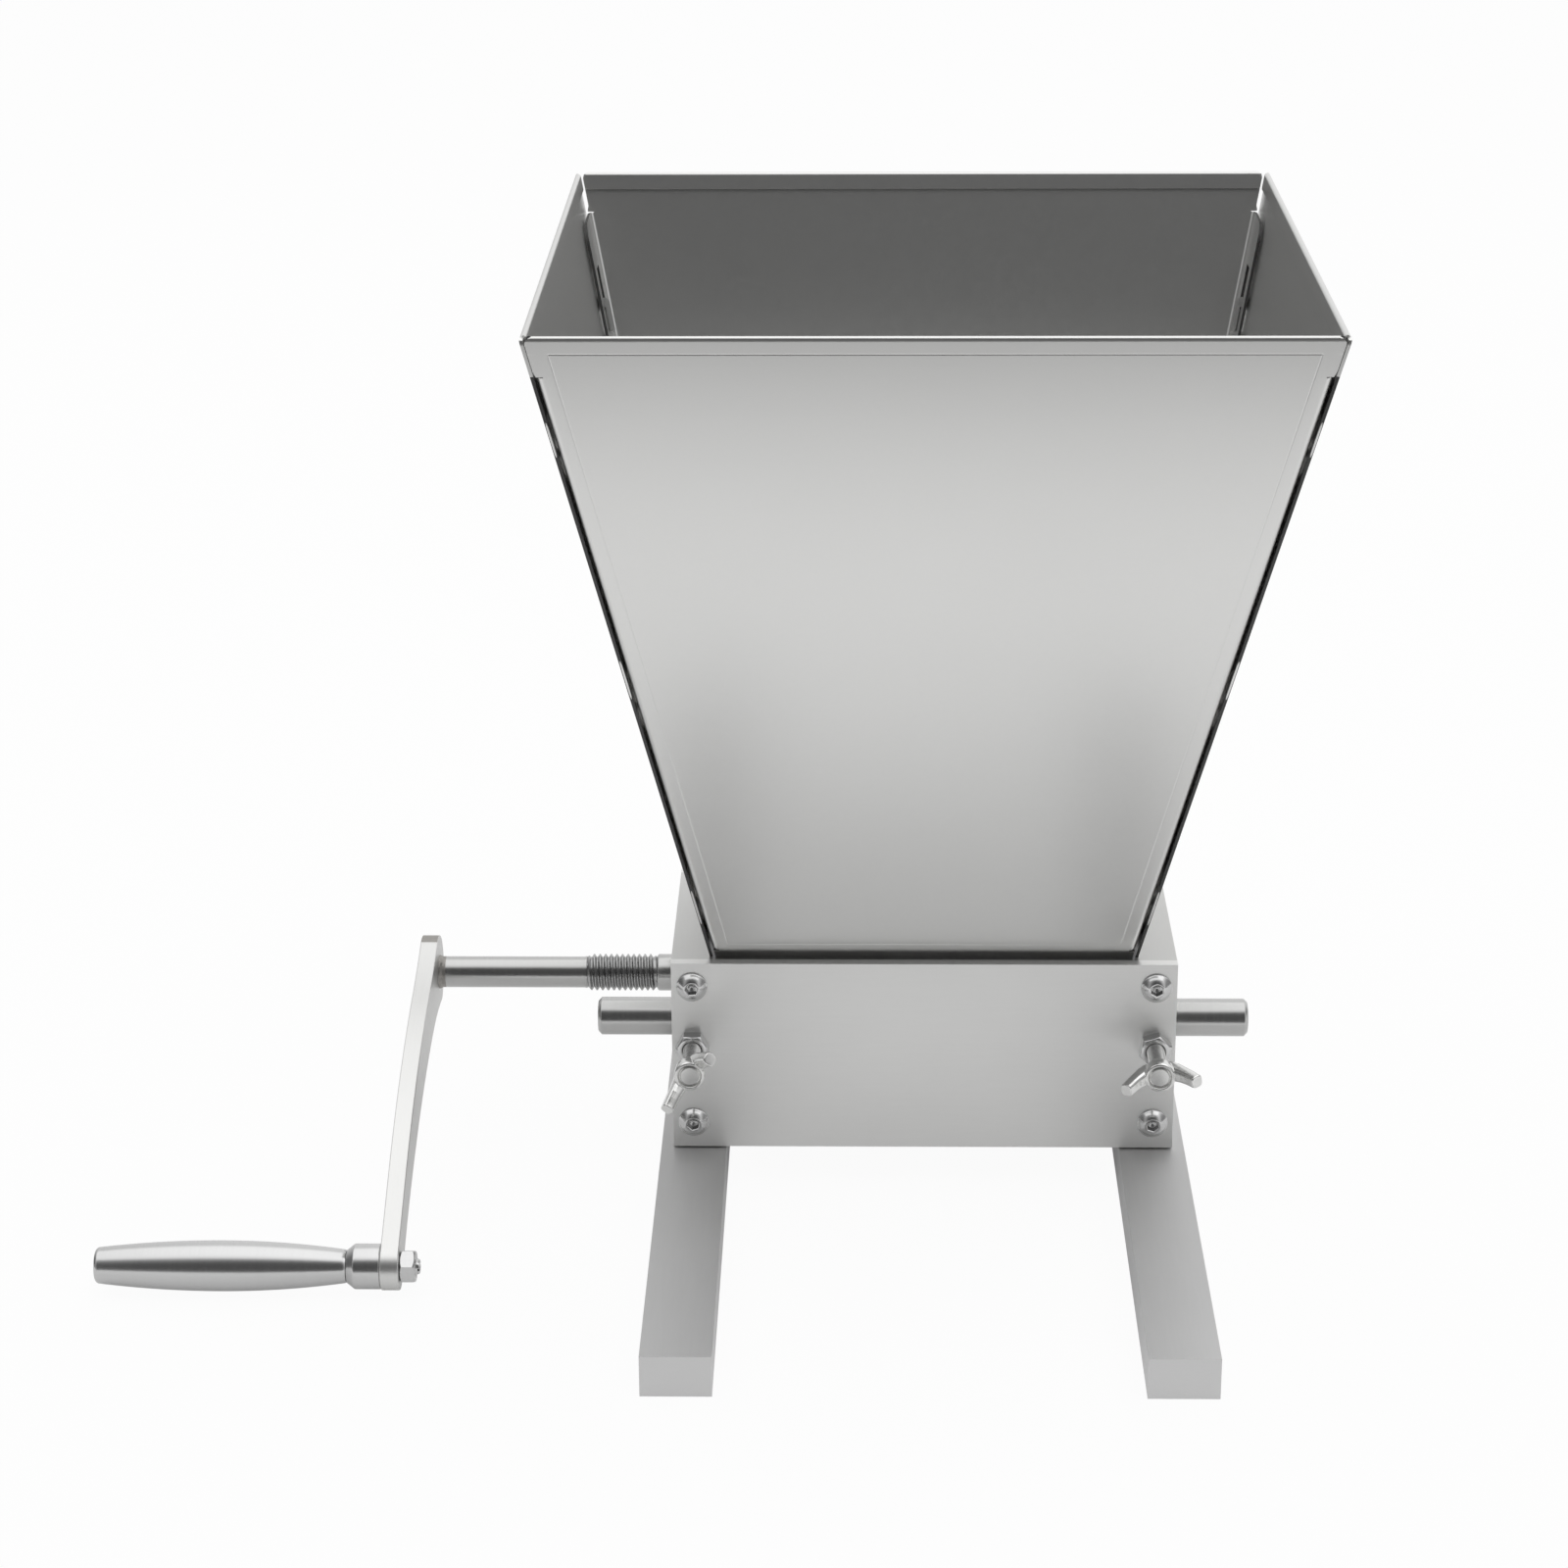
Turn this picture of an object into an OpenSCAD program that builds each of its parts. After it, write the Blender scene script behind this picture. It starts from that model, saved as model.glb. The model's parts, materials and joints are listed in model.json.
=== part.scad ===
// Hand cranked malt mill: two rollers in a plate body on bar legs, under a sheet metal hopper.
// X runs along the rollers with the crank on the minus side, Y runs from front to back, Z is up.
// The legs stand on Z = 0, and the origin is the middle of the whole mill's box at that height.

/* [Body] */
// Width over the side plates
body_w = 171; // [150:1:220]
// Height of the plates
body_h = 69; // [66:1:90]
// Thickness of the side plates
side_t = 14; // [13:0.5:18]
// Thickness of the front and rear plates
cover_t = 4; // [3:0.5:6]
// Height of the upper screws below the top edge of the plates
screw_top_inset = 8.5; // [7:0.5:9]
// Height of the lower screws above the lower edge of the plates
screw_low_inset = 10; // [8:0.5:12]

/* [Legs] */
// Width of a leg bar
leg_w = 22.5; // [18:0.5:30]
// Height of a leg bar
leg_h = 14; // [12:0.5:18]
// Reach of the legs beyond the front and rear plates
leg_reach = 143.5; // [110:0.5:170]
// Distance of the leg screws from the front and rear ends of the side plates
leg_screw_inset = 18; // [17:0.5:24]

/* [Rollers] */
// Diameter of the rollers
roller_d = 36; // [32:0.5:40]
// Gap between the rollers as the mill is set
roller_gap = 1.2; // [0.9:0.1:2]
// Space between a roller and the plate in front of or behind it
roller_cover_gap = 1.9; // [1.6:0.1:4]
// Space between the rollers and the hopper's skirt above them
roller_head_gap = 4.2; // [3:0.1:8]
// Chamfer on the ends of the rollers
roller_chamfer = 1; // [0.5:0.1:2]

/* [Shafts] */
// Diameter of the idler axle
axle_d = 13; // [10:0.5:14]
// Length of each free end of the idler axle beyond the side plates
axle_stub = 26.5; // [15:0.5:35]
// Chamfer on the ends of the idler axle
axle_chamfer = 1.2; // [0.5:0.1:2]
// Diameter of the drive shaft
shaft_d = 13; // [12:0.5:14]
// Length of plain shaft between the side plate and the thread
shaft_plain_len = 7.6; // [4:0.2:12]
// Length of the thread on the drive shaft
shaft_thread_len = 26; // [15:0.5:35]
// Diameter of the turned down end that carries the crank
shaft_neck_d = 11; // [10:0.5:12]
// Length of the turned down end
shaft_neck_len = 52; // [40:0.5:70]
// Diameter of the spigot that is riveted into the crank arm
spigot_d = 8; // [6:0.5:9]
// Diameter of the riveted head on the spigot
rivet_d = 11; // [9.5:0.5:13]
// Height of the riveted head
rivet_h = 1; // [0.6:0.1:2]
// Outer diameter of the bushes
bush_d = 17; // [16:0.5:19]
// Thickness of the thrust washers
washer_t = 1.2; // [0.8:0.1:2]
// Diameter of the thrust washers
washer_d = 22; // [18:0.5:26]

/* [Gap setting] */
// Length of a bearing block from front to back
block_len = 28; // [24:0.5:30]
// Height of a bearing block
block_h = 26; // [23:0.5:28]
// Free space behind a bearing block in its slot
slot_end_gap = 1.5; // [1.2:0.1:3]
// Depth of the seat that the tip of a wing bolt turns in
tip_seat = 2; // [1:0.1:3]
// Distance from the front plate to the outer end of a wing bolt
wing_reach = 25; // [22:0.5:35]
// Turn of the left wings from level
wing_angle_left = 52; // [0:1:90]
// Turn of the right wings from level
wing_angle_right = 8; // [0:1:90]
// Turn of the right lock nut
nut_angle_right = 17; // [0:1:30]

/* [Wings] */
// Length of the hub on a wing bolt
hub_len = 6.5; // [5:0.1:8]
// Diameter of the hub
hub_d = 10.4; // [9:0.1:12]
// Distance from the bolt's axis to the tip of a wing
wing_span = 14.2; // [12:0.1:18]
// Height of the wing tips above the base of the hub
wing_rise = 14; // [11:0.1:18]
// Thickness of a wing
wing_t = 4; // [2.5:0.1:5]

/* [Crank] */
// Distance from the drive shaft to the grip's bolt
crank_len = 145; // [120:1:175]
// Thickness of the crank arm
arm_t = 6; // [5:0.5:8]
// Radius of the arm's end at the shaft
arm_hub_r = 13; // [11:0.5:16]
// Radius of the arm's end at the grip
arm_tip_r = 7.7; // [7:0.1:10]
// Width of the arm next to the shaft end
arm_root_w = 20; // [16:0.5:24]
// Width of the arm next to the grip end
arm_neck_w = 12.5; // [10:0.5:15]
// Bow of the arm out of the straight line
arm_bow = 8.8; // [0:0.2:14]

/* [Grip] */
// Length of the turning grip
grip_len = 82; // [65:1:100]
// Largest diameter of the grip
grip_d = 16.5; // [14:0.1:22]
// Diameter of the grip at its free end
grip_end_d = 11.6; // [10.6:0.1:14]
// Diameter of the grip at its neck
grip_neck_d = 10.8; // [10:0.1:13]
// Height of the grip above the surface that the legs stand on
grip_floor_gap = 0.9; // [0.4:0.1:6]
// Diameter of the collar between grip and arm
collar_d = 14.8; // [12:0.1:18]
// Length of the collar's straight part
collar_len = 8.7; // [6:0.1:14]
// Length of the collar's cone towards the grip
collar_cone = 2.6; // [1:0.1:4]
// Diameter of the grip bolt's head
grip_head_d = 8.4; // [7.5:0.1:9]
// Height of the grip bolt's head
grip_head_h = 3.5; // [2.5:0.1:5]

/* [Hopper] */
// Height of the hopper above the plates
hopper_h = 235.5; // [160:0.5:280]
// Width of the hopper's rim
rim_w = 246.4; // [200:0.2:280]
// Depth of the hopper's rim from front to back
rim_d = 239.2; // [180:0.2:260]
// Thickness of the sheet metal
sheet_t = 1; // [0.8:0.1:1.5]
// Height of the skirt that drops into the body
skirt_h = 8; // [6:0.5:10]
// Space between the skirt and the front and rear plates
skirt_cover_gap = 2.5; // [1.5:0.1:4]
// Width of the flanges that overlap the side panels
flange_w = 22; // [16:0.5:26]
// Height of the ears above the flanges
ear_h = 13; // [10:0.5:18]
// Height of the folded hem along the rim
hem_h = 6.2; // [4:0.2:9]
// Radius of the panels' top corners
rim_corner_r = 2.6; // [1:0.1:4]
// Width of a lock hook
hook_w = 6; // [4:0.2:8]
// Space between the ears and the side panels
ear_gap = 0.6; // [0.2:0.1:1.2]
// Length of a lock hook
hook_len = 12; // [9:0.5:15]

/* [Fasteners] */
// Diameter of all screws and bolts
bolt_d = 6; // [5:0.1:6.4]
// Width across flats of the nuts
nut_af = 10; // [9.5:0.1:11]
// Thickness of the nuts
nut_t = 5; // [4:0.1:6]
// Diameter of the button heads
head_d = 10.5; // [9.5:0.1:12]
// Height of the button heads
head_h = 3.3; // [2.6:0.1:4]
// Width across flats of the sockets
socket_af = 4; // [3:0.1:4.5]
// Length of the screws under the head
screw_len = 16; // [12:0.5:20]
// Diameter of the leg screws' heads
cap_d = 10; // [9:0.1:11]
// Height of the leg screws' heads
cap_h = 6; // [5:0.1:7]
// Length of the leg screws under the head
cap_screw_len = 20; // [17:0.5:22]

/* [Fits] */
// Radial clearance of shafts, bolts and threads in their holes
run_gap = 0.05; // [0.03:0.01:0.1]
// Clearance between parts that lie against each other
seat_gap = 0.1; // [0.05:0.01:0.3]
// End play of the rollers on each side
end_play = 0.3; // [0.2:0.05:0.6]

/* [Hidden] */
$fn = 64;

// Overrun of every cut past the face that it opens
cut = 1;

// Body: heights, depths and the places of the shafts
side_x = body_w / 2 - side_t / 2;
inner_x = body_w / 2 - side_t;
body_d = 2 * (cover_t + roller_d + roller_cover_gap) + roller_gap;
side_d = body_d - 2 * cover_t;
plate_top = leg_h + body_h;
axle_z = plate_top - skirt_h - roller_head_gap - roller_d / 2;
drive_y = (roller_d + roller_gap) / 2;
idler_y = -drive_y;
// Free depth of a screw hole past the end of the screw
screw_end_gap = 1;
screw_z = [leg_h + screw_low_inset, plate_top - screw_top_inset];
leg_screw_y = side_d / 2 - leg_screw_inset;

// Hopper: opening at the bottom, slopes and the insets of the flanged panels
mouth_w = 2 * (inner_x + sheet_t);
mouth_d = body_d - 2 * (cover_t + skirt_cover_gap);
side_slope = atan((rim_w - mouth_w) / 2 / hopper_h);
face_slope = atan((rim_d - mouth_d) / 2 / hopper_h);
side_len = hopper_h / cos(side_slope);
face_len = hopper_h / cos(face_slope);
face_inset = (sheet_t + seat_gap) / cos(side_slope);
bend_inset = face_inset + sheet_t / 2;
ear_inset = (sheet_t + ear_gap) / cos(side_slope);
face_root = sheet_t / cos(face_slope);
hem_t = sheet_t;
hook_neck = hook_len / 4;
hook_play = sheet_t / 3;
hook_height_shares = [0.08, 0.42, 0.82];
flange_foot_gap = 3 * sheet_t;
seam_lean = atan((rim_d - mouth_d) / 2 / side_len);

// Shafts and crank
arm_x = -(body_w / 2 + shaft_plain_len + shaft_thread_len + shaft_neck_len);
crank_drop = axle_z - grip_d / 2 - grip_floor_gap;
crank_angle = asin(crank_drop / crank_len);
grip_y = drive_y - crank_len * cos(crank_angle);
grip_z = axle_z - crank_drop;
collar_x = arm_x - arm_t - collar_len - collar_cone;
grip_x = collar_x - seat_gap - grip_len;
roller_len = 2 * (inner_x - washer_t - end_play);
arm_flare_share = 0.2;
arm_steps = 14;
grip_belly_share = 0.5;
grip_steps = 9;

// The mill stands off the middle of its own box because the crank reaches out to one side
right_reach = max(rim_w / 2, body_w / 2 + axle_stub);
mill_x = -(grip_x + right_reach) / 2;

// Colours
steel = "silver";
bright = "gainsboro";
dark = "dimgray";
bronze = "peru";

// A line from one value to another
function blend(a, b, share) = a + (b - a) * share;

// Points of a circle's arc
function arc(c, r, a0, a1, n = 6) =
    [for (i = [0:n]) c + r * [cos(blend(a0, a1, i / n)), sin(blend(a0, a1, i / n))]];

// Places a part of the mill in the frame of the whole object
module in_mill() {
    translate([mill_x, 0, 0]) children();
}

// A part drawn along Z, laid along X
module along_x(x, y, z) {
    translate([x, y, z]) rotate([0, 90, 0]) children();
}

// A part drawn along Z, laid towards the front
module to_front(x, y, z) {
    translate([x, y, z]) rotate([90, 0, 0]) children();
}

// A straight round bar with chamfered ends
module chamfered_bar(d, len, c) {
    rotate_extrude()
        polygon([[0, 0], [d / 2 - c, 0], [d / 2, c], [d / 2, len - c], [d / 2 - c, len], [0, len]]);
}

// A hexagonal prism by its width across flats
module hex_prism(af, h) {
    cylinder(d = af / cos(30), h = h, $fn = 6);
}

// A nut with its corners turned off on both faces
module nut() {
    corner = nut_af / cos(30) / 2;
    bevel = (corner - nut_af / 2) * tan(30);
    difference() {
        intersection() {
            hex_prism(nut_af, nut_t);
            rotate_extrude() polygon([
                [0, 0], [nut_af / 2, 0], [corner, bevel],
                [corner, nut_t - bevel], [nut_af / 2, nut_t], [0, nut_t]]);
        }
        translate([0, 0, -cut]) cylinder(r = bolt_d / 2 + run_gap, h = nut_t + 2 * cut);
    }
}

// A button head screw: head above zero, shank below
module button_screw() {
    dome_r = (head_h * head_h + head_d * head_d / 4) / (2 * head_h);
    dome_a = asin(head_d / 2 / dome_r);
    difference() {
        union() {
            rotate_extrude() polygon(concat(
                [[0, 0]], arc([0, head_h - dome_r], dome_r, 90 - dome_a, 90, 8)));
            translate([0, 0, -screw_len]) cylinder(d = bolt_d, h = screw_len + head_h / 4);
        }
        translate([0, 0, head_h * 0.4]) hex_prism(socket_af, head_h);
    }
}

// A cap screw: head below zero, shank above
module cap_screw() {
    difference() {
        union() {
            translate([0, 0, -cap_h]) cylinder(d = cap_d, h = cap_h);
            translate([0, 0, -cap_h / 4]) cylinder(d = bolt_d, h = cap_screw_len + cap_h / 4);
        }
        translate([0, 0, -cap_h - cut]) hex_prism(socket_af, cap_h / 2 + cut);
    }
}

// The four screw places of the front or rear plate
module at_cover_screws(y) {
    for (s = [-1, 1], z = screw_z) translate([s * side_x, y, z]) children();
}

// A side plate, drawn at the left: slot, bush seat, hopper pocket and screw holes
module side_plate() {
    slot_len = side_d / 2 + idler_y + block_len / 2 + slot_end_gap;
    pocket_d = mouth_d + 2 * seat_gap;
    difference() {
        translate([-body_w / 2, -side_d / 2, leg_h]) cube([side_t, side_d, body_h]);
        translate([-body_w / 2 - cut, -side_d / 2 - cut, axle_z - block_h / 2 - seat_gap])
            cube([side_t + 2 * cut, slot_len + cut, block_h + 2 * seat_gap]);
        along_x(-body_w / 2 - cut, drive_y, axle_z)
            cylinder(d = bush_d, h = side_t + 2 * cut);
        translate([-inner_x - sheet_t - seat_gap, -pocket_d / 2, plate_top - skirt_h])
            cube([sheet_t + seat_gap + cut, pocket_d, skirt_h + cut]);
        for (z = screw_z, s = [-1, 1])
            translate([-side_x, s * side_d / 2, z]) rotate([90 * s, 0, 0])
                translate([0, 0, -cut])
                    cylinder(r = bolt_d / 2 + run_gap, h = screw_len - cover_t + screw_end_gap + cut);
        for (s = [-1, 1])
            translate([-side_x, s * leg_screw_y, leg_h - cut])
                cylinder(r = bolt_d / 2 + run_gap, h = cap_screw_len + cut);
    }
}

module side_plate_left() {
    color(steel) in_mill() side_plate();
}

module side_plate_right() {
    color(steel) in_mill() mirror([1, 0, 0]) side_plate();
}

// The front or rear plate with its screw holes, its outer face at y
module cover_plate(y) {
    difference() {
        translate([-body_w / 2, y, leg_h]) cube([body_w, cover_t, body_h]);
        at_cover_screws(y - cut) rotate([-90, 0, 0])
            cylinder(r = bolt_d / 2 + run_gap, h = cover_t + 2 * cut);
    }
}

module front_plate() {
    color(bright) in_mill() difference() {
        cover_plate(-body_d / 2);
        for (s = [-1, 1]) translate([s * side_x, -body_d / 2 - cut, axle_z]) rotate([-90, 0, 0])
            cylinder(r = bolt_d / 2 + run_gap, h = cover_t + 2 * cut);
    }
}

module rear_plate() {
    color(bright) in_mill() cover_plate(body_d / 2 - cover_t);
}

module front_plate_screws() {
    color(steel) in_mill() at_cover_screws(-body_d / 2) rotate([90, 0, 0]) button_screw();
}

module rear_plate_screws() {
    color(steel) in_mill() at_cover_screws(body_d / 2) rotate([-90, 0, 0]) button_screw();
}

// A leg bar, drawn at the left, bored from below for its screws
module leg() {
    leg_len = body_d + 2 * leg_reach;
    difference() {
        translate([-side_x - leg_w / 2, -leg_len / 2, 0]) cube([leg_w, leg_len, leg_h]);
        for (s = [-1, 1]) translate([-side_x, s * leg_screw_y, -cut]) {
            cylinder(r = bolt_d / 2 + run_gap, h = leg_h + 2 * cut);
            cylinder(d = cap_d + 2 * seat_gap, h = cap_h + seat_gap + cut);
        }
    }
}

module leg_left() {
    color(bright) in_mill() leg();
}

module leg_right() {
    color(bright) in_mill() mirror([1, 0, 0]) leg();
}

module leg_screws() {
    color(dark) in_mill() for (sx = [-1, 1], sy = [-1, 1])
        translate([sx * side_x, sy * leg_screw_y, cap_h + seat_gap]) cap_screw();
}

// A plain bush for a shaft of diameter d, as long as the side plate is thick
module bush(d) {
    difference() {
        cylinder(d = bush_d, h = side_t);
        translate([0, 0, -cut]) cylinder(r = d / 2 + run_gap, h = side_t + 2 * cut);
    }
}

module drive_bush_left() {
    color(bronze) in_mill() along_x(-body_w / 2, drive_y, axle_z) bush(shaft_d);
}

module drive_bush_right() {
    color(bronze) in_mill() along_x(inner_x, drive_y, axle_z) bush(shaft_d);
}

module idler_bush_left() {
    color(bronze) in_mill() along_x(-body_w / 2, idler_y, axle_z) bush(axle_d);
}

module idler_bush_right() {
    color(bronze) in_mill() along_x(inner_x, idler_y, axle_z) bush(axle_d);
}

// A bearing block, drawn at the left, with the seat for the tip of the wing bolt in front
module bearing_block() {
    difference() {
        translate([-body_w / 2, idler_y - block_len / 2, axle_z - block_h / 2])
            cube([side_t, block_len, block_h]);
        along_x(-body_w / 2 - cut, idler_y, axle_z) cylinder(d = bush_d, h = side_t + 2 * cut);
        translate([-side_x, idler_y - block_len / 2 - cut, axle_z]) rotate([-90, 0, 0])
            cylinder(r = bolt_d / 2 + run_gap, h = tip_seat + cut);
    }
}

module bearing_block_left() {
    color(dark) in_mill() bearing_block();
}

module bearing_block_right() {
    color(dark) in_mill() mirror([1, 0, 0]) bearing_block();
}

// A roller with chamfered ends and its bore
module roller(bore) {
    difference() {
        chamfered_bar(roller_d, roller_len, roller_chamfer);
        translate([0, 0, -cut]) cylinder(d = bore, h = roller_len + 2 * cut);
    }
}

module drive_roller() {
    color(dark) in_mill() along_x(-roller_len / 2, drive_y, axle_z) roller(shaft_d);
}

module idler_roller() {
    color(dark) in_mill() along_x(-roller_len / 2, idler_y, axle_z) roller(axle_d);
}

module idler_axle() {
    reach = body_w / 2 + axle_stub;
    color(steel) in_mill() along_x(-reach, idler_y, axle_z)
        chamfered_bar(axle_d, 2 * reach, axle_chamfer);
}

// Drive shaft: rivet head, spigot, turned down neck, thread and plain journal
module drive_shaft() {
    thread_end = body_w / 2 + shaft_plain_len + shaft_thread_len;
    color(steel) in_mill() {
        along_x(-thread_end, drive_y, axle_z)
            chamfered_bar(shaft_d, thread_end + body_w / 2 - end_play, end_play);
        along_x(arm_x, drive_y, axle_z) cylinder(d = shaft_neck_d, h = shaft_neck_len + end_play);
        along_x(arm_x - arm_t - seat_gap, drive_y, axle_z)
            cylinder(d = spigot_d, h = arm_t + seat_gap + end_play);
        along_x(arm_x - arm_t - rivet_h, drive_y, axle_z) chamfered_bar(rivet_d, rivet_h, rivet_h / 3);
    }
}

// A pair of thrust washers at the ends of a roller
module washer_pair(y, bore) {
    for (s = [-1, 1])
        along_x(s * (roller_len / 2 + washer_t / 2) - washer_t / 2, y, axle_z) difference() {
            cylinder(d = washer_d, h = washer_t);
            translate([0, 0, -cut]) cylinder(r = bore / 2 + run_gap, h = washer_t + 2 * cut);
        }
}

module drive_washers() {
    color(bronze) in_mill() washer_pair(drive_y, shaft_d);
}

module idler_washers() {
    color(bronze) in_mill() washer_pair(idler_y, axle_d);
}

// Side of the arm at a share of its length: the bowed middle line plus a half width that flares
// into both round ends
function arm_edge(share, side) =
    let (root = max(0, 1 - share / arm_flare_share),
         tip = max(0, 1 - (1 - share) / arm_flare_share),
         half = blend(arm_root_w, arm_neck_w, share) / 2
                + (arm_hub_r - arm_root_w / 2) * root * root
                + (arm_tip_r - arm_neck_w / 2) * tip * tip)
    [share * crank_len, side * half - 4 * arm_bow * share * (1 - share)];

// The crank arm's plane: x along the arm from the shaft, z across its thickness
module in_arm_plane() {
    translate([arm_x - arm_t, drive_y, axle_z]) rotate([180 + crank_angle, 0, 0])
        rotate([90, 0, 90]) children();
}

module crank_arm() {
    color(bright) in_mill() in_arm_plane() difference() {
        union() {
            linear_extrude(arm_t) polygon(concat(
                [for (i = [0:arm_steps]) arm_edge(i / arm_steps, -1)],
                [for (i = [arm_steps:-1:0]) arm_edge(i / arm_steps, 1)]));
            cylinder(r = arm_hub_r, h = arm_t);
            translate([crank_len, 0, 0]) cylinder(r = arm_tip_r, h = arm_t);
        }
        translate([0, 0, -cut]) cylinder(r = spigot_d / 2 + run_gap, h = arm_t + 2 * cut);
        translate([crank_len, 0, -cut]) cylinder(r = bolt_d / 2 + run_gap, h = arm_t + 2 * cut);
    }
}

module grip_collar() {
    len = collar_len + collar_cone;
    color(steel) in_mill() along_x(collar_x, grip_y, grip_z) difference() {
        rotate_extrude() polygon([
            [0, 0], [grip_neck_d / 2, 0], [collar_d / 2, collar_cone], [collar_d / 2, len], [0, len]]);
        translate([0, 0, -cut]) cylinder(r = bolt_d / 2 + run_gap, h = len + 2 * cut);
    }
}

// Radius of the grip at a share of its length: two parabolas that meet at the belly
function grip_r(share) =
    let (end = share < grip_belly_share ? grip_end_d : grip_neck_d,
         span = share < grip_belly_share ? grip_belly_share : 1 - grip_belly_share,
         off = (share - grip_belly_share) / span)
    (grip_d - (grip_d - end) * off * off) / 2;

module crank_grip() {
    rim = grip_end_d / 12;
    color(steel) in_mill() along_x(grip_x, grip_y, grip_z) difference() {
        rotate_extrude() polygon(concat(
            [[0, 0]], arc([grip_end_d / 2 - rim, rim], rim, -90, 0, 4),
            [for (i = [1:2 * grip_steps]) [grip_r(i / grip_steps / 2), i * grip_len / grip_steps / 2]],
            [[0, grip_len]]));
        translate([0, 0, -cut]) cylinder(r = bolt_d / 2 + run_gap, h = grip_len + 2 * cut);
        translate([0, 0, -cut]) cylinder(r = grip_head_d / 2 + seat_gap, h = grip_head_h + cut + grip_head_h / 4);
    }
}

// Bolt through grip, collar and arm, with a slotted head sunk in the grip's free end
module grip_bolt() {
    sink = grip_head_h / 4;
    shank = arm_x + nut_t + 2 * seat_gap + bolt_d / 5 - grip_x;
    slot_w = grip_head_d / 6;
    color(steel) in_mill() along_x(grip_x, grip_y, grip_z) difference() {
        union() {
            translate([0, 0, sink - seat_gap]) cylinder(d = grip_head_d, h = grip_head_h);
            translate([0, 0, sink]) chamfered_bar(bolt_d, shank - sink, bolt_d / 12);
        }
        translate([-grip_head_d, -slot_w / 2, -cut]) cube([2 * grip_head_d, slot_w, sink + cut + grip_head_h / 3]);
    }
}

module grip_nut() {
    color(steel) in_mill() along_x(arm_x + seat_gap, grip_y, grip_z) rotate(90) nut();
}

// Outline of one wing beside the bolt's axis: x away from the axis, y towards the free end
function wing_outline() =
    let (tip_r = wing_t / 2, c = [wing_span - tip_r, wing_rise - tip_r])
    concat([[hub_d / 3, hub_len / 8], [hub_d * 0.8, hub_len * 0.7]],
           arc(c, tip_r, -45, 135, 8),
           [[hub_d * 0.62, hub_len * 1.2], [hub_d / 3, hub_len * 0.95]]);

// A wing bolt with its outer end at zero height, wings up, thread down
module wing_bolt(angle) {
    groove = bolt_d / 12;
    tip_y = idler_y - block_len / 2 + tip_seat;
    len = wing_reach + tip_y + body_d / 2;
    translate([0, 0, -hub_len]) rotate(angle) {
        difference() {
            rotate_extrude() polygon([
                [0, 0], [hub_d * 0.42, 0], [hub_d / 2, hub_len * 0.3], [hub_d / 2, hub_len * 0.85],
                [hub_d * 0.44, hub_len], [0, hub_len]]);
            translate([0, 0, hub_len - groove]) difference() {
                cylinder(r = bolt_d / 2 + groove, h = groove + cut);
                cylinder(d = bolt_d, h = groove + cut);
            }
        }
        for (s = [0, 180]) rotate(s) rotate([90, 0, 0]) translate([0, 0, -wing_t / 2])
            linear_extrude(wing_t) polygon(wing_outline());
        translate([0, 0, hub_len - len]) chamfered_bar(bolt_d, len, groove);
    }
}

module wing_bolt_left() {
    color(steel) in_mill() to_front(-side_x, -body_d / 2 - wing_reach, axle_z) wing_bolt(wing_angle_left);
}

module wing_bolt_right() {
    color(steel) in_mill() to_front(side_x, -body_d / 2 - wing_reach, axle_z) wing_bolt(wing_angle_right);
}

module lock_nut_left() {
    color(steel) in_mill() to_front(-side_x, -body_d / 2, axle_z) nut();
}

module lock_nut_right() {
    color(steel) in_mill() to_front(side_x, -body_d / 2, axle_z) rotate(nut_angle_right) nut();
}

// Half width of a hopper panel that grows from the mouth to the rim
function flare(mouth, rim, inset, share) = blend(mouth, rim, share) / 2 - inset;

// The plane of the front panel: x across, y up the slope, z towards the front
module in_face_plane() {
    translate([0, -mouth_d / 2, plate_top]) rotate([face_slope, 0, 0]) rotate([90, 0, 0]) children();
}

// The plane of the right panel: x to the back, y up the slope, z outwards
module in_side_plane() {
    translate([mouth_w / 2, 0, plate_top]) rotate([0, side_slope, 0]) rotate([90, 0, 90]) children();
}

// Outline of a hopper panel with round top corners, ears above and inset edges below
function panel_outline(mouth, rim, inset, ear, len) =
    let (s = 1 - ear / len,
         top = rim / 2 - inset,
         r = rim_corner_r,
         step = ear > 0 ? bend_inset : 0,
         low = ear > 0 ? bend_inset : inset,
         right = concat(
             [[flare(mouth, rim, low, 0), 0]],
             ear > 0 ? [[flare(mouth, rim, low, s - step / len), len * s - step],
                        [flare(mouth, rim, inset, s), len * s]] : [],
             arc([top - r, len - r], r, 0, 90, 5)))
    concat(right, [for (i = [len(right) - 1:-1:0]) [-right[i][0], right[i][1]]]);

// The folded hem along the rim of a panel, on its inner face
module hem(rim, inset, slope) {
    top = rim / 2 - inset;
    r = rim_corner_r;
    low = top - hem_h * tan(slope);
    right = concat([[low - r, -hem_h]], arc([top - r, -r], r, 0, 90, 5));
    translate([0, 0, -sheet_t - hem_t]) linear_extrude(hem_t + sheet_t / 2)
        polygon(concat(right, [for (i = [len(right) - 1:-1:0]) [-right[i][0], right[i][1]]]));
}

// Place of a lock hook in the right panel's plane, beside the front seam and in line with it
module at_hook(share) {
    seam_u = -flare(mouth_d, rim_d, face_root, share);
    translate([seam_u + flange_w * 0.55, side_len * share]) rotate(seam_lean) children();
}

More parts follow.
